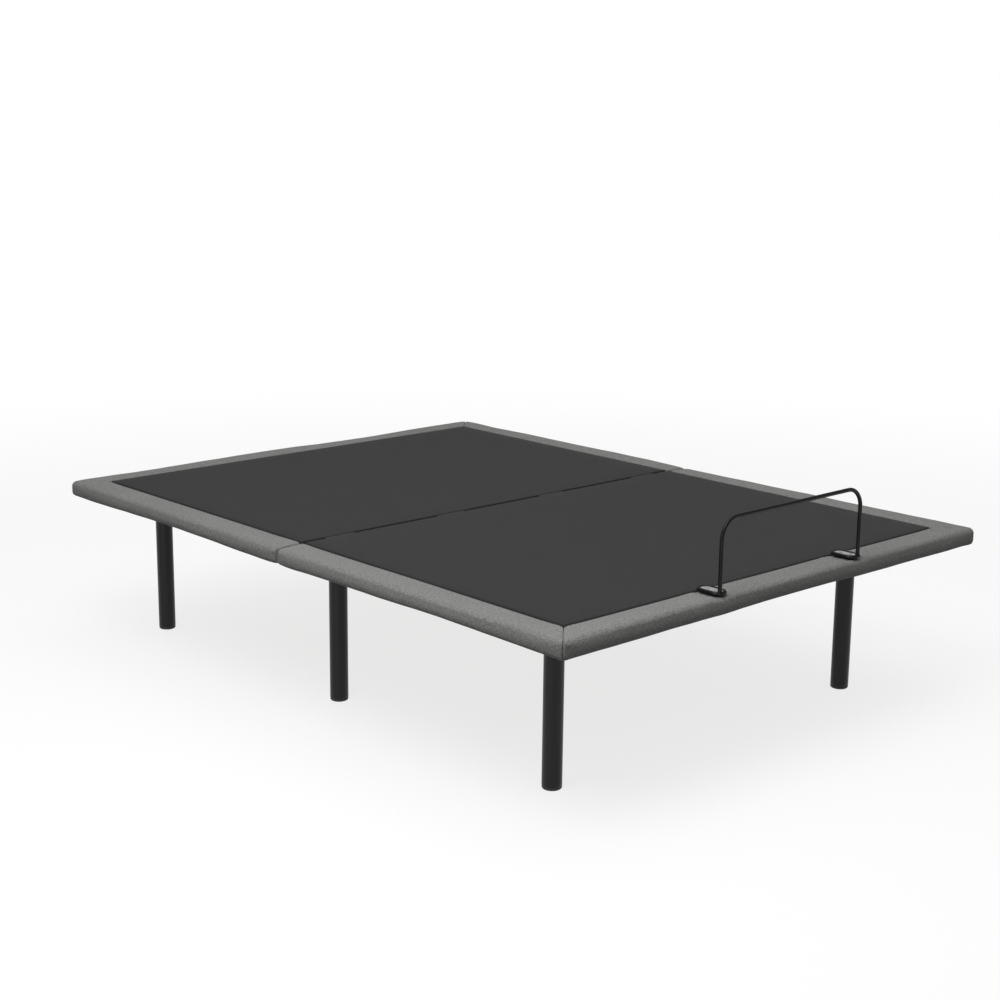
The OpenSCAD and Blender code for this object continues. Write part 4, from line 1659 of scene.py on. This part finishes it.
@dataclass
class LiftDrive:
    """Linear actuator with its motor, control box, power inlet and lead."""

    housing_x: float = 33 * MM
    housing_top: float = 27 * MM
    motor_drop: float = 50 * MM
    motor_r: float = 29 * MM
    eye_r: float = 13 * MM
    eye_w: float = 22 * MM
    pin_r: float = 5.05 * MM
    housing_start: float = 24 * MM
    housing_end: float = 104 * MM
    motor_l: float = 132 * MM
    tube_r: float = 19 * MM
    front: float = 52 * MM
    box_w: float = 46 * MM

    def __post_init__(self) -> None:
        """Finds the actuator's own frame: Y from the rear pin to the crank pin."""
        joints = {j["name"]: j for j in frame["joints"]}
        pivot = Vector(joints["actuator_swing"]["pos_m"])
        ahead = Vector(joints["rod_stroke"]["axis"]).normalized()
        across = Vector((1, 0, 0))
        turn = Matrix((across, ahead, across.cross(ahead))).transposed().to_4x4()
        self.place = Matrix.Translation(pivot) @ turn
        low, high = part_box("crank_pin")
        self.length = ((low + high) / 2 - pivot).length

    def along(self, x: float = 0.0, y: float = 0.0, z: float = 0.0) -> Matrix:
        """Places a lathe so that its axis runs along the actuator, starting at (x, y, z) in its frame."""
        return self.place @ Matrix.Translation((x, y, z)) @ Matrix.Rotation(-math.pi / 2, 4, "X")

    def build(self) -> None:
        """Draws every piece of the drive."""
        self.build_housing()
        self.build_motor()
        self.build_tube()
        self.build_box()
        self.build_inlet()
        self.build_lead()

    def build_housing(self) -> None:
        """Gear housing in two shells with ribs, bosses and screws, and the rear eye."""
        drawn = Shape()
        half, top = self.housing_x, self.housing_top
        bottom = -self.motor_drop - self.motor_r + 3 * MM
        start, end = self.housing_start, self.housing_end
        seam = (start + end) / 2
        for near, far in ((start, seam - 0.5 * MM), (seam + 0.5 * MM, end)):
            low, high = (-half, near, bottom), (half, far, top)
            drawn.block(low, high, 5 * MM, place=self.place, segments=4)
        low = (-half + 2 * MM, seam - 2 * MM, bottom + 2 * MM)
        drawn.block(low, (half - 2 * MM, seam + 2 * MM, top - 2 * MM), 1 * MM, place=self.place)
        for z in np.linspace(bottom + 16 * MM, top - 14 * MM, 5):
            for x in (-half, half):
                low = (x - 1.5 * MM, start + 8 * MM, z - 1.2 * MM)
                high = (x + 1.5 * MM, seam - 7 * MM, z + 1.2 * MM)
                drawn.block(low, high, 0.6 * MM, place=self.place, segments=2)
        reach, wide = self.eye_r, self.eye_w / 2
        ring = [(self.pin_r, -wide), (reach - 1 * MM, -wide), (reach, -wide + 1 * MM)]
        ring += [(reach, wide - 1 * MM), (reach - 1 * MM, wide), (self.pin_r, wide)]
        drawn.lathe(ring, self.place @ Matrix.Rotation(math.pi / 2, 4, "Y"), 40, looped=True)
        low = (-wide + 0.5 * MM, reach - 4 * MM, -reach + 1 * MM)
        high = (wide - 0.5 * MM, start + 3 * MM, reach - 1 * MM)
        drawn.block(low, high, 2 * MM, place=self.place)
        boss = in_mm((0, -3), (5, -3), (5, 1.4), (4.4, 2), (0, 2))
        for x in (9 * MM - half, half - 9 * MM):
            for z in (bottom + 9 * MM, top - 9 * MM):
                there = self.along(x, start, z) @ Matrix.Rotation(math.pi, 4, "X")
                drawn.lathe(boss, there, 24)
                tip = there @ Matrix.Translation((0, 0, 3.6 * MM))
                add_screw_head(drawn, tip, 3.3 * MM, 1.8 * MM, paint=1)
        finishes = [HOUSING_PLASTIC, ZINC]
        drawn.piece(
            "gear_housing_shells", "actuator", "actuator_plastic", finishes, ["gear_housing"]
        )

    def build_motor(self) -> None:
        """Motor can with a rolled rim, a stepped end bell and cooling slots."""
        r, length, rolled = self.motor_r, self.motor_l, 4 * MM
        profile = [(0.0, -1 * MM)]
        profile += around(r, (-0.6, -1), (0, 0), (0, 10), (-0.8, 11), (-0.8, 14), (0, 15))
        profile += around(r, (0, -22), (-0.8, -21), (-0.8, -18), (0, -17), base=length)
        for a in arc_steps(5):
            rise = length - 12 * MM + rolled * math.sin(a)
            profile.append((r - rolled * (1 - math.cos(a)), rise))
        profile += around(r, (-6, -8), (-6.4, -1), (-8, 0), base=length)
        profile += around(0.0, (9, 0), (8, -2), (0, -2), base=length)
        drawn = Shape()
        there = self.along(0, self.housing_end, -self.motor_drop)
        drawn.lathe(profile, there, 64)
        low = (r - 14 * MM, -1.6 * MM, length - 3 * MM)
        high = (r - 9 * MM, 1.6 * MM, length + 0.4 * MM)
        for a in full_turn(8):
            turn = there @ Matrix.Rotation(a, 4, "Z")
            drawn.block(low, high, 0.5 * MM, paint=1, place=turn)
        finishes = [MOTOR_COAT, BLACK_PLASTIC]
        drawn.piece("motor_shell", "actuator", "motor_enamel", finishes, ["motor_can"])

    def build_tube(self) -> None:
        """Extruded tube with long grooves, and the front bush with its wiper ring."""
        r, groove, bore_r = self.tube_r, 0.9 * MM, 15 * MM
        bush = self.length - self.front - 24 * MM
        start, end = self.housing_end, bush + 2 * MM
        sides = 72
        turns = full_turn(sides)
        grooved = [r - (groove if k % 12 in (5, 6) else 0.0) for k in range(sides)]
        loop = [(g * math.cos(a), g * math.sin(a)) for g, a in zip(grooved, turns)]
        bore = [(bore_r * math.cos(a), bore_r * math.sin(a)) for a in turns]
        rings = []
        for outline, at in ((bore, start), (loop, start), (loop, end), (bore, end)):
            rings.append([Vector((x, at, z)) for x, z in outline])
        drawn = Shape()
        drawn.loft(rings, place=self.place, looped=True)
        collar = in_mm((10.1, 0)) + around(r, (2.2, 0), (3, 0.8), (3, 15), (2.4, 16), (2.4, 17))
        collar += around(r, (3, 18), (3, 22.5), (1.5, 24))
        collar += in_mm((13, 24), (12.4, 22.6), (10.1, 22.6))
        drawn.lathe(collar, self.along(0, bush, 0), 56, paint=1, looped=True)
        finishes = [ANODISED, BLACK_PLASTIC]
        drawn.piece(
            "actuator_tube_extrusion", "actuator", "aluminium_tube", finishes, ["actuator_tube"]
        )

    def build_box(self) -> None:
        """Control box: base, lid with a seam, vents, screws and the clip that holds it to the tube."""
        low = Vector((-self.housing_x - self.box_w, self.housing_start + 8 * MM, -58 * MM))
        high = Vector((-self.housing_x, self.housing_end + 96 * MM, 24 * MM))
        seam = low.x + 0.55 * self.box_w
        place = self.place
        drawn = Shape()
        drawn.block((seam + 0.6 * MM, low.y, low.z), high, 4 * MM, place=place, segments=4)
        drawn.block(low, (seam - 0.6 * MM, high.y, high.z), 6 * MM, place=place, segments=5)
        tongue = (seam - 3 * MM, low.y + 2 * MM, low.z + 2 * MM)
        tongue_end = (seam + 3 * MM, high.y - 2 * MM, high.z - 2 * MM)
        drawn.block(tongue, tongue_end, 1 * MM, place=place)
        clip = (high.x, self.housing_end + 6 * MM, -10 * MM)
        drawn.block(clip, (1 * MM - self.tube_r, high.y - 20 * MM, 10 * MM), 2 * MM, place=place)
        for k in range(9):
            y = low.y + 38 * MM + 9 * MM * k
            vent = (low.x - 0.5 * MM, y, low.z + 18 * MM)
            vent_end = (low.x + 2 * MM, y + 3 * MM, high.z - 22 * MM)
            drawn.block(vent, vent_end, 0.8 * MM, paint=1, place=place, segments=2)
        outward = Matrix.Rotation(-math.pi / 2, 4, "Y")
        for y in (low.y + 10 * MM, high.y - 10 * MM):
            for z in (low.z + 10 * MM, high.z - 10 * MM):
                there = place @ Matrix.Translation((low.x, y, z)) @ outward
                tip = there @ Matrix.Translation((0, 0, 1.2 * MM))
                add_screw_head(drawn, tip, 3.4 * MM, 1.8 * MM, paint=2)
        finishes = [HOUSING_PLASTIC, BLACK_PLASTIC, ZINC]
        drawn.piece("control_box_case", "actuator", "actuator_plastic", finishes, ["control_box"])

    def build_inlet(self) -> None:
        """Round power socket with a flange and a centre contact."""
        there = self.along(-self.housing_x - self.box_w / 2, self.housing_end + 84 * MM, -17 * MM)
        ring = in_mm((5.5, 14.6), (6.2, 15), (10.2, 15), (11, 14.2), (11, 12), (9, 12), (9, 0))
        ring += in_mm((0, 0), (0, 3), (5.5, 3))
        contact = in_mm((0, 2.6), (1.2, 2.6), (1.2, 10), (0.6, 11), (0, 11))
        drawn = Shape()
        drawn.lathe(ring, there, 40)
        drawn.lathe(contact, there, 16, paint=1)
        finishes = [BLACK_PLASTIC, ZINC]
        drawn.piece("power_inlet_socket", "actuator", "actuator_plastic", finishes, ["power_inlet"])

    def build_lead(self) -> None:
        """Motor lead from the end bell round to the control box, with a ribbed boot at each end."""
        bend, radius, rib, taper = 12 * MM, 3 * MM, 2.4 * MM, 0.35 * MM
        end = self.housing_end + self.motor_l
        middle = end + 14 * MM
        box_x, box_end = -self.housing_x - self.box_w / 2, self.housing_end + 96 * MM
        turns = [(bend * math.cos(a), bend * math.sin(a)) for a in arc_steps(8)]
        path = [Vector((0, end + d, 0)) for d in (0.0, 7 * MM)]
        path += [Vector((-bend + c, middle + s, 0)) for c, s in turns]
        path += [Vector((box_x + bend - s, middle + c, 0)) for c, s in turns]
        path += [Vector((box_x, y, 0)) for y in np.linspace(end + 8 * MM, box_end - 1 * MM, 5)]
        drop = Matrix.Translation((0, 0, -self.motor_drop))
        drawn = Shape()
        drawn.sweep([self.place @ drop @ p for p in path], radius, sides=14)
        boot = [(0.0, 0.0)]
        for k in range(5):
            ring = ((0, 0), (0, 1.5), (-0.9, 1.7), (-0.9, 2.2))
            boot += around(5.2 * MM - taper * k, *ring, base=rib * k)
        boot.append((0.0, 12 * MM))
        drawn.lathe(boot, self.along(0, end - 1 * MM, -self.motor_drop), 24)
        drawn.lathe(boot, self.along(box_x, box_end - 1 * MM, -self.motor_drop), 24)
        drawn.piece("motor_lead_cable", "actuator", "lead_jacket", replaced=["motor_lead"])


ROUNDING = {
    "frame_enamel": 0.7 * MM,
    "zinc_hardware": 0.35 * MM,
    "chromed_steel": 0.5 * MM,
    "black_plastic": 0.8 * MM,
    "black_rubber": 1.0 * MM,
    "plywood": 0.8 * MM,
    "timber": 1.5 * MM,
}


def dress_frame_nodes(plain: float = 0.4 * MM, sharp: float = 35.0) -> None:
    """Gives every frame node that still shows its finish, and rounds its sharp edges.

    Args:
        plain: the rounding where the slot has none of its own.
        sharp: edges that turn more than this are rounded, in degrees.
    """
    for name, node in frame["nodes"].items():
        if node.hide_render:
            continue
        slot = NODE_SLOT[name]
        node.data.materials.clear()
        node.data.materials.append(SLOT_FINISH[slot].material())
        weld = node.modifiers.new("Weld", "WELD")
        weld.merge_threshold = MERGE
        bevel = node.modifiers.new("Bevel", "BEVEL")
        bevel.width = ROUNDING.get(slot, plain)
        bevel.segments = 2
        bevel.limit_method = "ANGLE"
        bevel.angle_limit = math.radians(sharp)
        even = node.modifiers.new("Even", "WEIGHTED_NORMAL")
        even.keep_sharp = True
        LOG.info("%s: frame node in %s", name, slot)


# ------------------------------------------------------------------ studio


@dataclass(frozen=True)
class Lamp:
    """A large soft lamp aimed at the deck: place and size in metres, power in watts.

    A glint only shows in shiny surfaces.
    """

    name: str
    place: tuple[float, float, float]
    size: Point2
    power: float
    glint: bool = False


LAMPS = (
    Lamp("key", (-1.8, -1.0, 2.8), (1.6, 1.8), 58.0),
    Lamp("top", (0.3, -0.2, 4.4), (3.5, 3.0), 34.0),
    Lamp("strip", (-3.6, -1.4, 0.7), (0.35, 2.4), 30.0, glint=True),
)


@dataclass
class Studio:
    """Pale floor, soft light from above on the left, and the camera."""

    azimuth: float = -42.6
    elevation: float = 13.01
    distance: float = 4.841
    aim: tuple[float, float, float] = (-0.004, 0.004, 0.4625)
    lens: float = 63.34
    roll: float = 0.62
    floor_size: float = 60.0
    sweep: Point2 = (1.6, 5.0)
    floor_shade: float = 0.20
    floor_glow: Point2 = (0.78, 1.0)
    dome: Point2 = (0.08, 0.66)
    dome_rise: float = 0.9

    def build(self) -> None:
        """Makes the camera, the floor, the lamps and the sky."""
        bpy.context.scene.view_settings.view_transform = "Standard"
        self.build_camera()
        self.build_floor()
        for lamp in LAMPS:
            self.build_lamp(lamp)
        self.build_sky()

    def build_camera(self) -> None:
        """Aims the camera at the middle of the deck."""
        a, e = math.radians(self.azimuth), math.radians(self.elevation)
        way = Vector((math.sin(a) * math.cos(e), -math.cos(a) * math.cos(e), math.sin(e)))
        lens = bpy.data.cameras.new("camera")
        lens.lens = self.lens
        lens.clip_end = 200.0
        eye = bpy.data.objects.new("camera", lens)
        turn = (-way).to_track_quat("-Z", "Y").to_matrix().to_4x4()
        spin = Matrix.Rotation(math.radians(self.roll), 4, "Z")
        eye.matrix_world = Matrix.Translation(Vector(self.aim) + self.distance * way) @ turn @ spin
        bpy.context.scene.collection.objects.link(eye)
        bpy.context.scene.camera = eye

    def build_floor(self) -> None:
        """Makes the pale floor, which fades to white far from the bed as a studio sweep does."""
        half = self.floor_size / 2
        mesh = bpy.data.meshes.new("floor")
        corners = [(-half, -half, 0), (half, -half, 0), (half, half, 0), (-half, half, 0)]
        mesh.from_pydata(corners, [], [(0, 1, 2, 3)])
        paper = bpy.data.materials.new("floor paper")
        paper.use_nodes = True
        paper.node_tree.nodes.clear()
        board = Board(paper.node_tree)
        away = board.add("VectorMath", {0: board.add("TexCoord").outputs["Object"]}, operation="LENGTH")
        far = board.ramp(away.outputs["Value"], *self.sweep)
        paint = board.tint(far, (self.floor_shade,) * 3, (0.0,) * 3)
        shaded = board.add("BsdfDiffuse", {"Color": paint})
        strength = board.between(far, *self.floor_glow)
        glow = board.add("Emission", {"Color": (1.0, 1.0, 1.0, 1.0), "Strength": strength})
        both = board.add("AddShader", {0: shaded.outputs[0], 1: glow.outputs[0]})
        board.add("OutputMaterial", {"Surface": both.outputs[0]})
        mesh.materials.append(paper)
        floor = bpy.data.objects.new("floor", mesh)
        floor.visible_diffuse = False
        bpy.context.scene.collection.objects.link(floor)

    def build_lamp(self, lamp: Lamp) -> None:
        """Makes a lamp and aims it at the deck."""
        light = bpy.data.lights.new(lamp.name, "AREA")
        light.shape = "RECTANGLE"
        light.size, light.size_y = lamp.size
        light.energy = lamp.power
        held = bpy.data.objects.new(lamp.name, light)
        way = Vector(self.aim) - Vector(lamp.place)
        turn = way.to_track_quat("-Z", "Y").to_matrix().to_4x4()
        held.matrix_world = Matrix.Translation(lamp.place) @ turn
        held.visible_diffuse = not lamp.glint
        bpy.context.scene.collection.objects.link(held)

    def build_sky(self) -> None:
        """White to look at, and a dim dome that is brighter overhead for what it lights."""
        world = bpy.data.worlds.new("studio")
        bpy.context.scene.world = world
        world.use_nodes = True
        world.node_tree.nodes.clear()
        board = Board(world.node_tree)
        up = board.add("SeparateXYZ", {0: board.add("TexCoord").outputs["Generated"]}).outputs[2]
        height = board.ramp(up, 0.0, self.dome_rise)
        low, high = ((grey,) * 3 for grey in self.dome)
        dome = board.add("Background", {"Color": board.tint(height, low, high)})
        seen = board.add("Background", {"Color": (1.0, 1.0, 1.0, 1.0)})
        eye = board.add("LightPath").outputs["Is Camera Ray"]
        both = board.add("MixShader", {0: eye, 1: dome.outputs[0], 2: seen.outputs[0]})
        board.add("OutputWorld", {"Surface": both.outputs[0]})


def main() -> None:
    """Builds the bed base round its frame, in order."""
    logging.basicConfig(level=logging.INFO, format="%(name)s: %(message)s")
    Studio().build()
    plan = DeckPlan.from_frame()
    bar = RetainerBar()
    PaddedBorder(plan, bar).build()
    DeckPads(plan).build()
    bar.build()
    SteelTubes().build()
    RoundLegs().build()
    Staples(plan).build()
    LiftDrive().build()
    dress_frame_nodes()


if __name__ == "__main__":
    main()
